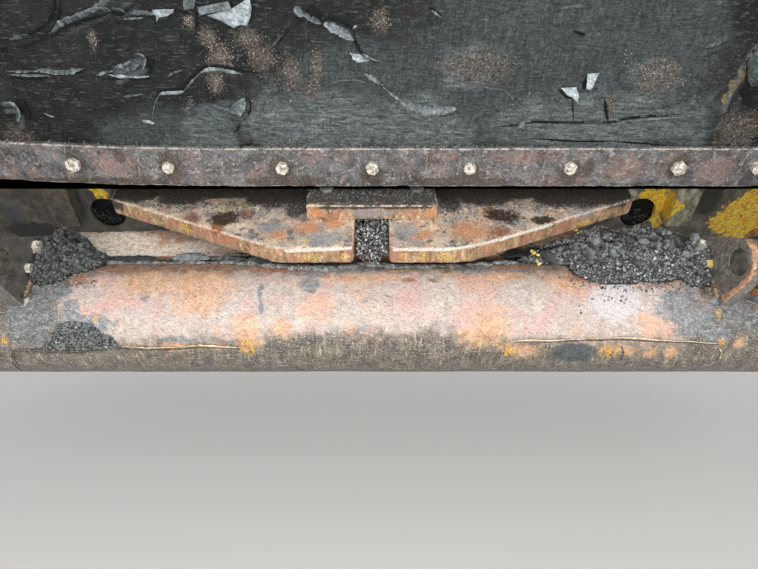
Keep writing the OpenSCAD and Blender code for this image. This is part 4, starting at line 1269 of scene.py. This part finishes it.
def ribbon(bm, points, width, high, tone, side, surface, base, seed):
    """A thin lip along a line on a surface: it tapers to its ends, and its free side curls off."""
    line = [Vector(points[0])]
    for a, b in zip(points, points[1:]):
        count = max(1, int((Vector(b) - Vector(a)).length / (1.3 * MM)))
        line += [Vector(a).lerp(Vector(b), i / count) for i in range(1, count + 1)]
    for _ in range(3):
        line = [line[0]] + [(a + b * 2 + c) / 4 for a, b, c in zip(line, line[1:], line[2:])] + [line[-1]]
    last = len(line) - 1
    layer = bm.verts.layers.float["tone"]
    made = bmesh.ops.create_grid(bm, x_segments=last, y_segments=3, size=0.5)["verts"]
    flat = []
    curls = []
    for v in made:
        i = min(last, max(0, round((v.co.x + 0.5) * last)))
        t = v.co.y * 2
        ahead = (line[min(last, i + 2)] - line[max(0, i - 2)]).normalized()
        ragged = noise.noise(Vector((i * 0.3, seed, 1)))
        fade = min(1.0, (i + 0.5) / (last * 0.25 + 1), (last - i + 0.5) / (last * 0.25 + 1)) ** 0.7
        torn = 0.3 * noise.noise(Vector((i * 0.9, seed, 5))) * max(t, 0)
        half = width / 2 * fade * (1 + 0.5 * ragged + torn)
        flat.append(line[i] + Vector((-ahead.y, ahead.x)) * (side * t * half))
        bent = 0.8 + 0.6 * noise.noise(Vector((i * 0.2, seed, 9)))
        curls.append(high * fade * bent * ((t + 1) / 2) ** 1.4)
        v[layer] = min(1.0, max(0.0, tone + 0.3 * ragged - 0.15 * (1 - t)))
    lifts = base(np.array([spot.x for spot in flat]), np.array([spot.y for spot in flat]))
    for v, spot, curl, up in zip(made, flat, curls, lifts):
        v.co = surface(spot.x, spot.y, up + 0.9 * MM + curl)


def no_relief(xs, ys):
    """How far a plain surface under a lip stands out: nowhere."""
    return xs * 0


def lips(name, rows, pixel, surface, base, finish_name, body, slot):
    """Curled lips along pixel lines, as one piece on a surface."""
    bm = bmesh.new()
    bm.verts.layers.float.new("tone")
    for i, (width, high, tone, side, pixels) in enumerate(rows):
        points = [pixel(px, py) for px, py in pixels]
        ribbon(bm, points, width * NEAR_PIXEL, high * MM, tone, side, surface, base, i * 3.7)
    thicken(bm, 0.5 * MM)
    settle(name, bm, finish_name, body, slot)


def inside_outline(x, y, corners):
    """Whether a point lies inside a closed outline."""
    inside = False
    for (ax, ay), (bx, by) in zip(corners, np.roll(corners, -1, axis=0)):
        if (ay > y) != (by > y) and x < (bx - ax) * (y - ay) / (by - ay) + ax:
            inside = not inside
    return inside


def bridging(x, y, up):
    """A point of the film that spans the gap from the shelf's front edge to the push tube."""
    span = SHELF_HI.z + 2 * MM + 0.34 * (SHELF_LO.y - y)
    return Vector((x, y, max(span, tube_top(x, y) + 1.5 * MM) + up))


class PaverLooks(PropertyGroup):
    """Sizes and colours of the unit's finish."""

    rust: FloatVectorProperty(name="Plate rust", description="Colour of the rusted plates", subtype="COLOR",
                              min=0, max=1, default=linear("#cf8f62")[:3])
    enamel: FloatVectorProperty(name="Enamel", description="Colour of the machine's enamel", subtype="COLOR",
                                min=0, max=1, default=linear("#ffd844")[:3])
    # The flap's paler colour, where dried dust lies and painted light falls
    rubber: FloatVectorProperty(name="Rubber", description="Colour of the flap's rubber", subtype="COLOR",
                                min=0, max=1, default=linear("#4b5151")[:3])
    head_flats: FloatProperty(name="Bolt head", description="Size across a bolt head's flats", unit="LENGTH",
                              min=10 * MM, max=40 * MM, default=20 * MM)
    bead: FloatProperty(name="Weld bead", description="Width of the weld beads", unit="LENGTH",
                        min=4 * MM, max=16 * MM, default=9 * MM)
    flap_cell: FloatProperty(name="Flap cell", description="Size of the flap's mesh cells", unit="LENGTH",
                             min=2 * MM, max=20 * MM, default=2.7 * MM)
    seed: IntProperty(name="Seed", description="Start of the scattered crumbs", default=7)


class PAVER_OT_stage(Operator):
    """Makes the camera at the photograph's angle, the pale floor and the soft lights"""
    bl_idname = "paver.stage"
    bl_label = "Stage"

    def execute(self, context):
        scene = context.scene
        scene.view_settings.view_transform = "Standard"
        camera = bpy.data.cameras.new("camera")
        camera.sensor_width = SENSOR_MM
        camera.lens = FOCAL_PX * SENSOR_MM / PHOTO_W
        camera.clip_start = 0.01
        eye = bpy.data.objects.new("camera", camera)
        eye.location = CAMERA_AT
        eye.rotation_euler = (math.pi / 2 - CAMERA_DOWN, 0, 0)
        scene.collection.objects.link(eye)
        scene.camera = eye

        bm = bmesh.new()
        bmesh.ops.create_grid(bm, x_segments=2, y_segments=2, size=FLOOR_HALF,
                              matrix=Matrix.Translation((0, 0, TUBE_Z - FLOOR_DROP)))
        mesh = bpy.data.meshes.new("floor")
        bm.to_mesh(mesh)
        bm.free()
        floor = bpy.data.objects.new("floor", mesh)
        scene.collection.objects.link(floor)
        mesh.materials.append(Coat("pale floor", linear("#cfccc8")).finish(0.9))

        world = bpy.data.worlds.new("soft studio")
        scene.world = world
        world.use_nodes = True
        tree = world.node_tree
        tree.nodes.clear()
        rays = add(tree, "ShaderNodeLightPath").outputs
        seen = add(tree, "ShaderNodeMath", {0: rays["Is Camera Ray"], 1: rays["Is Glossy Ray"]},
                   operation="MAXIMUM")
        seen = add(tree, "ShaderNodeMath", {0: seen.outputs[0], 1: rays["Is Transmission Ray"]},
                   operation="MAXIMUM")
        soft = add(tree, "ShaderNodeBackground", {"Color": linear("#f2f5fa"), "Strength": 0.55})
        white = add(tree, "ShaderNodeBackground", {"Color": (1, 1, 1, 1), "Strength": 1.0})
        both = add(tree, "ShaderNodeMixShader", {0: seen.outputs[0], 1: soft.outputs[0], 2: white.outputs[0]})
        add(tree, "ShaderNodeOutputWorld", {"Surface": both.outputs[0]})

        for name, at, size, power, aim in (("sky", (0.2, -0.9, 2.6), 4.0, 48, (0, -0.2, 0)),
                                           ("fill", (-1.0, -2.6, 0.7), 2.0, 20, (0, -0.1, 0)),
                                           ("low", (0.15, -2.9, 1.25), 2.0, 40, (0.3, 0, 0.08)),
                                           ("back", (1.5, 2.6, 1.6), 2.5, 14, (0, 0, 0))):
            lamp = bpy.data.lights.new(name, "AREA")
            lamp.shape = "SQUARE"
            lamp.size = size
            lamp.energy = power
            holder = bpy.data.objects.new(name, lamp)
            holder.location = at
            holder.rotation_euler = (Vector(aim) - Vector(at)).to_track_quat("-Z", "Y").to_euler()
            scene.collection.objects.link(holder)
        return {"FINISHED"}


class PAVER_OT_steel(Operator):
    """Dresses the plain steel nodes and puts worn copies in place of the plates"""
    bl_idname = "paver.steel"
    bl_label = "Steel plates and shafts"

    # Finish, cell mm, bevel mm and painted marks of each plate that gets a worn copy
    worn = {
        "wing_left": ("plate", 3.5, 2.5, WING_MARKS), "wing_right": ("plate", 3.5, 2.5, WING_MARKS),
        "keeper_plate": ("plate", 3, 2, KEEPER_MARKS), "shelf": ("plate", 4.5, 2, SHELF_MARKS),
        "cross_member": ("enamel", 8, 2, CROSS_MARKS), "rib_left": ("enamel", 6, 2, {}),
        "rib_right": ("enamel", 6, 2, RIB_MARKS), "ear_inner_left": ("film", 5, 2, EAR_MARKS),
        "ear_inner_right": ("film", 4, 2, EAR_MARKS), "ear_outer_left": ("film", 6, 2, EAR_MARKS),
        "ear_outer_right": ("film", 6, 2, EAR_MARKS),
    }
    dressed = {
        "lower_pivot_plate": "film", "lower_gussets": "film", "pivot_pin": "turned", "pin_collar": "film",
        "thrust_washer": "turned", "hopper_lip": "enamel", "end_cap_left": "film", "end_cap_right": "film",
        "shelf_webs": "film", "back_plate_left": "film", "back_plate_right": "film", "tongue": "film",
        "pivot_boss": "turned", "shaft_left": "turned", "shaft_right": "turned", "roller_left": "roller",
        "roller_right": "roller", "roller_hubs_left": "film", "roller_hubs_right": "film",
    }

    def execute(self, context):
        for node, (finish_name, cell, bevel, marks) in self.worn.items():
            bm = worn_bmesh(node, cell * MM, bevel * MM, PLATE_DENT)
            paint(settle("worn_" + node, bm, finish_name, BODY_OF[node], SLOT_OF[node], node), marks)
        for node, finish_name in self.dressed.items():
            for slot in frame["nodes"][node].material_slots:
                slot.material = material(finish_name)
        return {"FINISHED"}


class PAVER_OT_tube(Operator):
    """Makes the dented, burnished push tube and its rolled lips"""
    bl_idname = "paver.tube"
    bl_label = "Push tube"

    # Half of the stretch that the photograph shows, the size of its cells; the cells round it and at each end
    seen = 0.60
    cell = 4.6 * MM
    around = 120
    ends = 30

    def execute(self, context):
        middle = int(2 * self.seen / self.cell)
        columns = middle + 2 * self.ends
        far = TUBE_HALF - self.seen
        bm = bmesh.new()
        bmesh.ops.create_grid(bm, x_segments=columns, y_segments=self.around, size=0.5)
        for v in bm.verts:
            column = (v.co.x + 0.5) * columns
            if column < self.ends:
                x = -TUBE_HALF + far * column / self.ends
            elif column > columns - self.ends:
                x = TUBE_HALF - far * (columns - column) / self.ends
            else:
                x = -self.seen + 2 * self.seen * (column - self.ends) / middle
            turn = (v.co.y + 0.5) * 2 * math.pi
            spot = Vector((x, math.cos(turn), math.sin(turn)))
            dent = 0.6 * MM * noise.noise(Vector((x * 9, spot.y * 1.5, spot.z * 1.5)))
            dent += 0.2 * MM * noise.noise(Vector((x * 70, spot.y * 7, spot.z * 7)))
            r = TUBE_R + dent
            v.co = Vector((x, TUBE_Y + spot.y * r, TUBE_Z + spot.z * r))
        close_ends(bm)
        paint(settle("worn_push_tube", bm, "tube", "beam", "worn_tube", "push_tube"), TUBE_MARKS)
        lips("rolled_lips", TUBE_LIPS, on_tube, tube_point, no_relief, "rolled", "beam", "worn_tube")
        return {"FINISHED"}


# The clamp bar bends up this far left of the middle, by this much times the square of the distance past it
BEND_FROM = 0.18
BEND = 0.085


def bar_bend(x):
    """How far the clamp bar's left end is bent up at a place along it."""
    past = max(0.0, -x - BEND_FROM)
    return BEND * past ** 2


class PAVER_OT_bar(Operator):
    """Makes the bent clamp bar with its bolt heads, and the bolts of the keeper and the ears"""
    bl_idname = "paver.bar"
    bl_label = "Clamp bar and bolts"

    pitch = 143 * MM
    # How far each hole was drilled off its mark, in mm, from left to right
    drift = (0, -6, -11, 12, 1, 1, 5, 21, -6)
    # How much of the usual size across the flats each head still has
    flats = (0.9, 0.95, 0.82, 0.85, 0.88, 0.84, 0.86, 0.98, 0.9)
    # The keeper's two bolts: distance from the middle, and from its front edge
    keeper_bolts = (69 * MM, 42 * MM)
    # Bolts in the ears' inner faces: pixel x and y, flats mm, height mm
    ear_bolts = ((703, 246, 20, 9), (710, 264, 15, 8), (35, 247, 18, 9), (27, 268, 13, 7))

    def execute(self, context):
        looks = context.scene.paver_looks
        bm = worn_bmesh("clamp_bar", 4.5 * MM, 1.8 * MM, 0.9 * MM)
        for v in bm.verts:
            v.co.z += bar_bend(v.co.x) + 0.9 * MM * noise.noise(Vector((v.co.x * 12, 3, 1)))
        paint(settle("worn_clamp_bar", bm, "bar", "frame", "rusted_bar", "clamp_bar"), BAR_MARKS)

        rng = np.random.default_rng(looks.seed)
        heads = bmesh.new()
        middle = (BAR_LO.z + BAR_HI.z) / 2 + 2 * MM
        for i, (off, flats) in enumerate(zip(self.drift, self.flats)):
            x = (i - 4) * self.pitch + off * MM
            at = Vector((x, BAR_LO.y, middle + bar_bend(x)))
            hexagon_head(heads, at, Vector((0, -1, 0)), looks.head_flats * flats, 9 * MM, rng.uniform(0, 1))
        settle("bar_bolts", heads, "zinc", "frame", "pin_steel", smooth=False)

        keeper = bmesh.new()
        across, inward = self.keeper_bolts
        for side in (-1, 1):
            at = Vector((side * across, KEEPER_LO.y + inward, KEEPER_HI.z))
            hexagon_head(keeper, at, Vector((0, 0, 1)), looks.head_flats, 6 * MM, 0.3 * side)
        settle("keeper_bolts", keeper, "film", "frame", "dark_steel", smooth=False)

        studs = bmesh.new()
        for px, py, flats, high in self.ear_bolts:
            side = 1 if px > PHOTO_W / 2 else -1
            ray = photo_ray(px, py)
            at = CAMERA_AT + ray * ((side * EAR_LO.x - CAMERA_AT.x) / ray.x)
            hexagon_head(studs, at, Vector((-side, 0, 0)), flats * MM, high * MM, 0.4)
        paint(settle("ear_bolts", studs, "zinc", "beam", "pin_steel", smooth=False), STUD_MARKS)
        return {"FINISHED"}


class PAVER_OT_flap(Operator):
    """Makes the creased rubber flap, its cracks with strips of painted shade in them, curled lips, flakes and
    stuck grit
    """
    bl_idname = "paver.flap"
    bl_label = "Rubber flap"

    # Rise and half width of the part that the photograph shows, whose cells are fine
    seen = 0.235
    wide = 0.53

    def execute(self, context):
        looks = context.scene.paver_looks
        half = FLAP_HI.x
        clamped = BAR_HI.z - BAR_LO.z
        rows = (4, int(self.seen / looks.flap_cell), 10)
        columns = (16, int(2 * self.wide / looks.flap_cell), 16)
        bm = bmesh.new()
        bmesh.ops.create_grid(bm, x_segments=sum(columns), y_segments=sum(rows), size=0.5)
        xs = np.interp([v.co.x + 0.5 for v in bm.verts], np.cumsum((0,) + columns) / sum(columns),
                       (-half, -self.wide, self.wide, half))
        rises = np.interp([v.co.y + 0.5 for v in bm.verts], np.cumsum((0,) + rows) / sum(rows),
                          (-clamped, 0.0, self.seen, FLAP_RISE))
        lift, ridge_wear_and_highlight = flap_relief(xs, rises)
        layer = bm.verts.layers.float.new("ridge_wear_and_highlight")
        for v, x, rise, up, sharp in zip(bm.verts, xs, rises, lift, ridge_wear_and_highlight):
            v.co = flap_point(x, rise, up)
            v[layer] = sharp
        thicken(bm, FLAP_T)
        paint(settle("belting_flap", bm, "belting", "frame", "flap_rubber", "rubber_flap"), FLAP_MARKS)

        def base(some_xs, some_rises):
            return flap_relief(some_xs, some_rises)[0]

        lips("curled_lips", FLAP_LIPS, on_flap, flap_point, base, "flake", "frame", "flap_rubber")
        # Black strips of painted shade, laid flat in the open cracks
        cracks = [(width, 0.2, 0, 1, pixels) for width, pixels in FLAP_CRACK_SHADES]
        lips("crack_shade_strips", cracks, on_flap, flap_point, base, "gap_shade", "frame", "flap_rubber")
        self.peel(base)
        self.grit(base, np.random.default_rng(looks.seed + 4))
        return {"FINISHED"}

    def peel(self, base):
        """The loose flakes, rooted on their first side and curling off it."""
        flakes = bmesh.new()
        flakes.verts.layers.float.new("tone")
        for tone, high, outline in FLAKES:
            flake = bmesh.new()
            own = flake.verts.layers.float.new("tone")
            places = [on_flap(px, py) for px, py in outline]
            lifts = base(*np.array(places).T)
            corners = [flap_point(x, rise, up + 1 * MM) for (x, rise), up in zip(places, lifts)]
            root = (corners[0] + corners[1]) / 2
            reach = max((corner - root).length for corner in corners)
            bmesh.ops.create_circle(flake, cap_ends=True, segments=len(corners), radius=1)
            for v, corner in zip(flake.verts, corners):
                v.co = corner
            bmesh.ops.poke(flake, faces=flake.faces[:])
            bmesh.ops.subdivide_edges(flake, edges=flake.edges[:], cuts=3, use_grid_fill=True)
            for v in flake.verts:
                far = (v.co - root).length / reach
                curl = high * MM * far ** 1.5 + 1.3 * MM * noise.noise(v.co * 90)
                v[own] = min(1.0, max(0.0, tone + 0.3 * noise.noise(v.co * 60)))
                v.co += Vector((0, -1, 0.25)) * (1.5 * MM + curl)
                v.co.x += 1.2 * MM * noise.noise(v.co * 140)
            part = bpy.data.meshes.new("flake")
            flake.to_mesh(part)
            flake.free()
            flakes.from_mesh(part)
            bpy.data.meshes.remove(part)
        thicken(flakes, 0.7 * MM)
        settle("skin_flakes", flakes, "flake", "frame", "flap_rubber")

    # Patches of stuck grit: pixel box and how many grains
    patches = ((200, 29, 217, 46, 330), (207, 46, 234, 67, 560), (234, 29, 262, 48, 380),
               (247, 46, 276, 70, 430), (208, 73, 224, 92, 330), (186, 95, 194, 112, 70),
               (285, 60, 300, 85, 330), (303, 83, 320, 97, 150), (311, 53, 323, 80, 260),
               (370, 11, 390, 30, 160), (440, 54, 520, 80, 420), (634, 62, 682, 88, 900),
               (607, 94, 614, 116, 90), (184, 15, 194, 26, 90), (89, 32, 97, 48, 90),
               (714, 112, 758, 146, 420), (262, 138, 310, 147, 120), (425, 136, 475, 147, 120),
               (500, 92, 560, 118, 150), (240, 96, 300, 112, 120), (618, 48, 632, 62, 80),
               (272, 50, 296, 90, 260))

    def grit(self, base, rng):
        """Stone grains stuck to the flap, thickest in the middle of each patch."""
        stuck = []
        sizes = []
        for left, top, right, bottom, count in self.patches:
            for _ in range(count):
                px = (left + right) / 2 + (right - left) * 0.27 * rng.normal()
                py = (top + bottom) / 2 + (bottom - top) * 0.27 * rng.normal()
                stuck.append(on_flap(px, min(py, BAR_TOP_PIXEL)))
                sizes.append(rng.uniform(0.4, 1.15) * MM)
        lifts = base(*np.array(stuck).T)
        places = [flap_point(x, rise, up + 0.3 * size)
                  for (x, rise), up, size in zip(stuck, lifts, sizes)]
        scatter("stuck_grit", places, sizes, "frame", rng, "sand", "flap_rubber")


class PAVER_OT_welds(Operator):
    """Lays the weld beads at the wings and ears"""
    bl_idname = "paver.welds"
    bl_label = "Weld beads"

    def execute(self, context):
        looks = context.scene.paver_looks
        rng = np.random.default_rng(looks.seed + 1)
        back = CROSS_LO.y - 1 * MM
        top = WING_HI.z + 1 * MM
        low = WING_LO.z - 1 * MM
        for side, name in ((-1, "left"), (1, "right")):
            corners = ((30 * MM, top), (WING_HI.x, top), (WING_HI.x, low), (30 * MM, low))
            path = [Vector((side * x, back, z)) for x, z in corners]
            weld("wing_weld_" + name, path, looks.bead, "frame", rng)
            points = []
            for i in range(17):
                turn = math.radians(118 - 4.75 * i)
                out = TUBE_R + 1 * MM
                points.append(Vector((side * (EAR_LO.x - 1 * MM), TUBE_Y + out * math.cos(turn),
                                      TUBE_Z + out * math.sin(turn))))
            weld("ear_weld_" + name, points, looks.bead, "beam", rng)
        return {"FINISHED"}


class PAVER_OT_asphalt(Operator):
    """Heaps cold asphalt on the shelf, in the slot, in the tie holes and on the tube, and sets a black disc
    of painted shade in each tie hole
    """
    bl_idname = "paver.asphalt"
    bl_label = "Stuck asphalt"

    # Pixel outline of the patch stuck on the tube's front
    patch = ((57, 325), (70, 322), (94, 324), (100, 333), (110, 335), (118, 344), (114, 348), (75, 349),
             (42, 349), (48, 338), (56, 332))
    # Loose bits on the tube: pixel x, y and size mm
    strays = ((609, 297, 3), (625, 290, 5), (633, 288, 4), (642, 290, 3), (621, 301, 4), (626, 299, 3),
              (615, 302, 2), (584, 286, 4), (592, 299, 3), (579, 306, 3), (581, 313, 4), (602, 288, 4),
              (652, 289, 3), (360, 302, 2), (593, 299, 2), (604, 301, 3), (608, 300, 3), (612, 298, 3),
              (624, 303, 4), (622, 297, 5), (640, 287, 4), (646, 291, 4), (578, 294, 2), (172, 300, 1.4),
              (700, 262, 3), (560, 278, 3), (571, 281, 4), (54, 349, 4), (60, 352, 4))
    # Gunk squeezed out under the shelf's front: pixel x and y, half length, half depth and height in mm
    gunk = ((110, 262, 30, 6, 6), (150, 262, 34, 6, 6), (190, 262, 34, 6, 6), (225, 262, 30, 6, 6),
            (250, 264, 26, 7, 7), (275, 267, 26, 8, 7), (300, 270, 26, 8, 6), (325, 271, 26, 8, 6),
            (348, 269, 22, 8, 6), (372, 265, 26, 8, 8), (398, 268, 26, 7, 6), (424, 268, 26, 7, 6),
            (450, 267, 22, 7, 5), (478, 265, 24, 7, 6), (505, 262, 22, 8, 8))
    # Chips of enamel on the right heap: pixel x and y, and size in mm
    chips = ((532, 251, 3.5), (535, 253, 3), (538, 255, 3), (533, 254, 2), (537, 261, 2.4), (539, 264, 3),
             (576, 230, 3), (578, 233, 2.2))

    def execute(self, context):
        rng = np.random.default_rng(context.scene.paver_looks.seed + 2)
        # Each heap's limits in x and y, its number of crumbs and how pale they are
        inside = EAR_LO.x - 2 * MM
        heap("asphalt_right", PILES_RIGHT, LUMPS_RIGHT, rng, (0.20, inside, -0.262, -0.106), 9200, 1.06)
        heap("asphalt_left", PILES_LEFT, LUMPS_LEFT, rng, (-inside, -0.30, -0.266, -0.106), 5200, 0.5)
        self.stick(rng)
        self.fill_slot(rng)
        bed("shelf_gunk", piled(self.gunk, GUNK_LEVEL), (-0.42, 0.24, -0.232, SHELF_LO.y + 3 * MM), tube_top,
            "paste", 2 * MM)
        lips("torn_film", FILM_LIPS, lambda px, py: tuple(on_level(px, py, FILM_LEVEL))[:2], bridging,
             no_relief, "flake", "beam", "worn_tube")
        places = [on_level(px, py, CHIP_LEVEL) for px, py, _ in self.chips]
        scatter("enamel_chips", places, [size * MM for _, _, size in self.chips], "beam", rng, "chip")
        self.dust(rng)
        self.shade_and_clog_holes(rng)
        return {"FINISHED"}

    def stick(self, rng):
        """The patch on the tube's front and the crumbs round it and below the right heap."""
        places = []
        sizes = []
        corners = np.array(self.patch, float)
        while len(places) < 1500:
            px = rng.uniform(41, 120)
            py = rng.uniform(321, 350)
            if not inside_outline(px, py, corners):
                continue
            x, arc = on_tube(px, py)
            size = rng.uniform(0.9, 2.4) * MM
            places.append(tube_point(x, arc, size * rng.uniform(0, 1.4)))
            sizes.append(size)
        # Crumbs that rolled down: pixel x from and to, pixel y, and how many
        for low, high, row, number in ((572, 706, 284, 220), (30, 96, 286, 70), (600, 690, 290, 40)):
            for _ in range(number):
                places.append(tube_point(*on_tube(rng.uniform(low, high), row + 3.2 * rng.normal())))
                sizes.append(rng.uniform(0.6, 1.9) * MM)
        for px, py, size in self.strays:
            places.append(tube_point(*on_tube(px, py)))
            sizes.append(size * MM * 0.6)
        scatter("asphalt_on_tube", places, sizes, "beam", rng)

    def fill_slot(self, rng):
        """Crumbs packed in the slot between the wings, which widens towards the keeper plate."""
        places = []
        sizes = []
        while len(places) < 900:
            x = rng.uniform(-24, 24) * MM
            y = rng.uniform(WING_LO.y + 2 * MM, KEEPER_LO.y + 30 * MM)
            deep = (y - WING_LO.y) / (60 * MM)
            if abs(x) > (9 + 40 * deep) * MM:
                continue
            sizes.append(rng.uniform(1.0, 2.8) * MM)
            places.append((x, y, WING_LO.z - 4 * MM + (rng.uniform(0, 10) + 14 * min(deep, 1)) * MM))
        scatter("asphalt_in_slot", places, sizes, "frame", rng, pale=1.4)

    def dust(self, rng):
        """Dark grit on the wings' and the keeper's tops, thickest under the clamp bar."""
        places = []
        sizes = []
        while len(places) < 2200:
            x = rng.uniform(-WING_HI.x, WING_HI.x)
            y = BAR_LO.y + 8 * MM - 17 * MM * abs(rng.normal()) * (1 + noise.noise(Vector((x * 30, 1, 1))))
            over = abs(x) < KEEPER_HI.x and y > KEEPER_LO.y
            beside = abs(x) < KEEPER_HI.x + 2 * MM and y > KEEPER_LO.y
            if not over and (y < wing_front(x) + 4 * MM or abs(x) < 26 * MM or beside):
                continue
            if over and y < KEEPER_LO.y + 3 * MM:
                continue
            size = (0.5 + 1.2 * rng.random() ** 2) * MM
            places.append((x, y, (KEEPER_HI.z if over else WING_HI.z) + 0.3 * size))
            sizes.append(size)
        # Crumbs along the bar's top edge: pixel x from and to, and how many
        for low, high, number in ((262, 310, 130), (425, 478, 150), (0, 758, 260), (160, 262, 60),
                                  (320, 425, 40)):
            for _ in range(number):
                x = on_level(rng.uniform(low, high), 147, BAR_HI.z).x
                size = rng.uniform(0.6, 1.8) * MM
                up = bar_bend(x)
                places.append((x, rng.uniform(BAR_LO.y + 1 * MM, BAR_HI.y), BAR_HI.z + up + 0.4 * size))
                sizes.append(size)
        scatter("asphalt_dust", places, sizes, "frame", rng, pale=0.9)

    def shade_and_clog_holes(self, rng):
        """A black disc of painted shade in each tie hole of the cross-member, standing for the dark inside,
        and asphalt crumbs clogging the holes' lower part.
        """
        places = []
        sizes = []
        for side in (-1, 1):
            # Each hole gets a sooty black disc: painted shade of the dark inside behind the hole
            middle = Vector((side * TIE_HOLE_X, CROSS_LO.y + 8 * MM, 7 * MM))
            bm = bmesh.new()
            bmesh.ops.create_circle(bm, cap_ends=True, segments=40, radius=TIE_HOLE_R,
                                    matrix=Matrix.Translation(middle) @ Matrix.Rotation(math.pi / 2, 4, "X"))
            bmesh.ops.poke(bm, faces=bm.faces[:])
            bmesh.ops.subdivide_edges(bm, edges=bm.edges[:], cuts=5, use_grid_fill=True)
            for v in bm.verts:
                v.co.y += 3 * MM * noise.noise(v.co * 60) + 0.12 * (v.co.z - middle.z)
            thicken(bm, 2 * MM)
            settle("hole_shade_disc_" + ("left" if side < 0 else "right"), bm, "gap_shade", "frame", "dark_steel")
            for _ in range(260):
                turn = rng.uniform(0, 2 * math.pi)
                out = 28 * MM * rng.random() ** 0.5
                x = out * math.cos(turn)
                z = out * math.sin(turn)
                if z > -4 * MM + 6 * MM * rng.normal():
                    continue
                sizes.append(rng.uniform(0.9, 2.4) * MM)
                places.append(middle + Vector((x, -2 * MM, z)))
        scatter("asphalt_in_holes", places, sizes, "frame", rng, pale=0.3)


class PAVER_PT_sidebar(Panel):
    """Lists the unit's sizes, colours and building steps"""
    bl_label = "Paver push-roller unit"
    bl_idname = "PAVER_PT_sidebar"
    bl_space_type = "VIEW_3D"
    bl_region_type = "UI"
    bl_category = "Paver"

    def draw(self, context):
        for name in PaverLooks.__annotations__:
            self.layout.prop(context.scene.paver_looks, name)
        for step in STEPS:
            self.layout.operator(step.bl_idname)


STEPS = (PAVER_OT_stage, PAVER_OT_steel, PAVER_OT_tube, PAVER_OT_bar, PAVER_OT_flap, PAVER_OT_welds,
         PAVER_OT_asphalt)
CLASSES = (PaverLooks, *STEPS, PAVER_PT_sidebar)


def register():
    for cls in CLASSES:
        bpy.utils.register_class(cls)
    bpy.types.Scene.paver_looks = PointerProperty(type=PaverLooks)


def unregister():
    del bpy.types.Scene.paver_looks
    for cls in reversed(CLASSES):
        bpy.utils.unregister_class(cls)


def main():
    """Builds the unit in order."""
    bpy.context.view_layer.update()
    register()
    for step in STEPS:
        group, name = step.bl_idname.split(".")
        getattr(getattr(bpy.ops, group), name)()


if __name__ == "__main__":
    main()
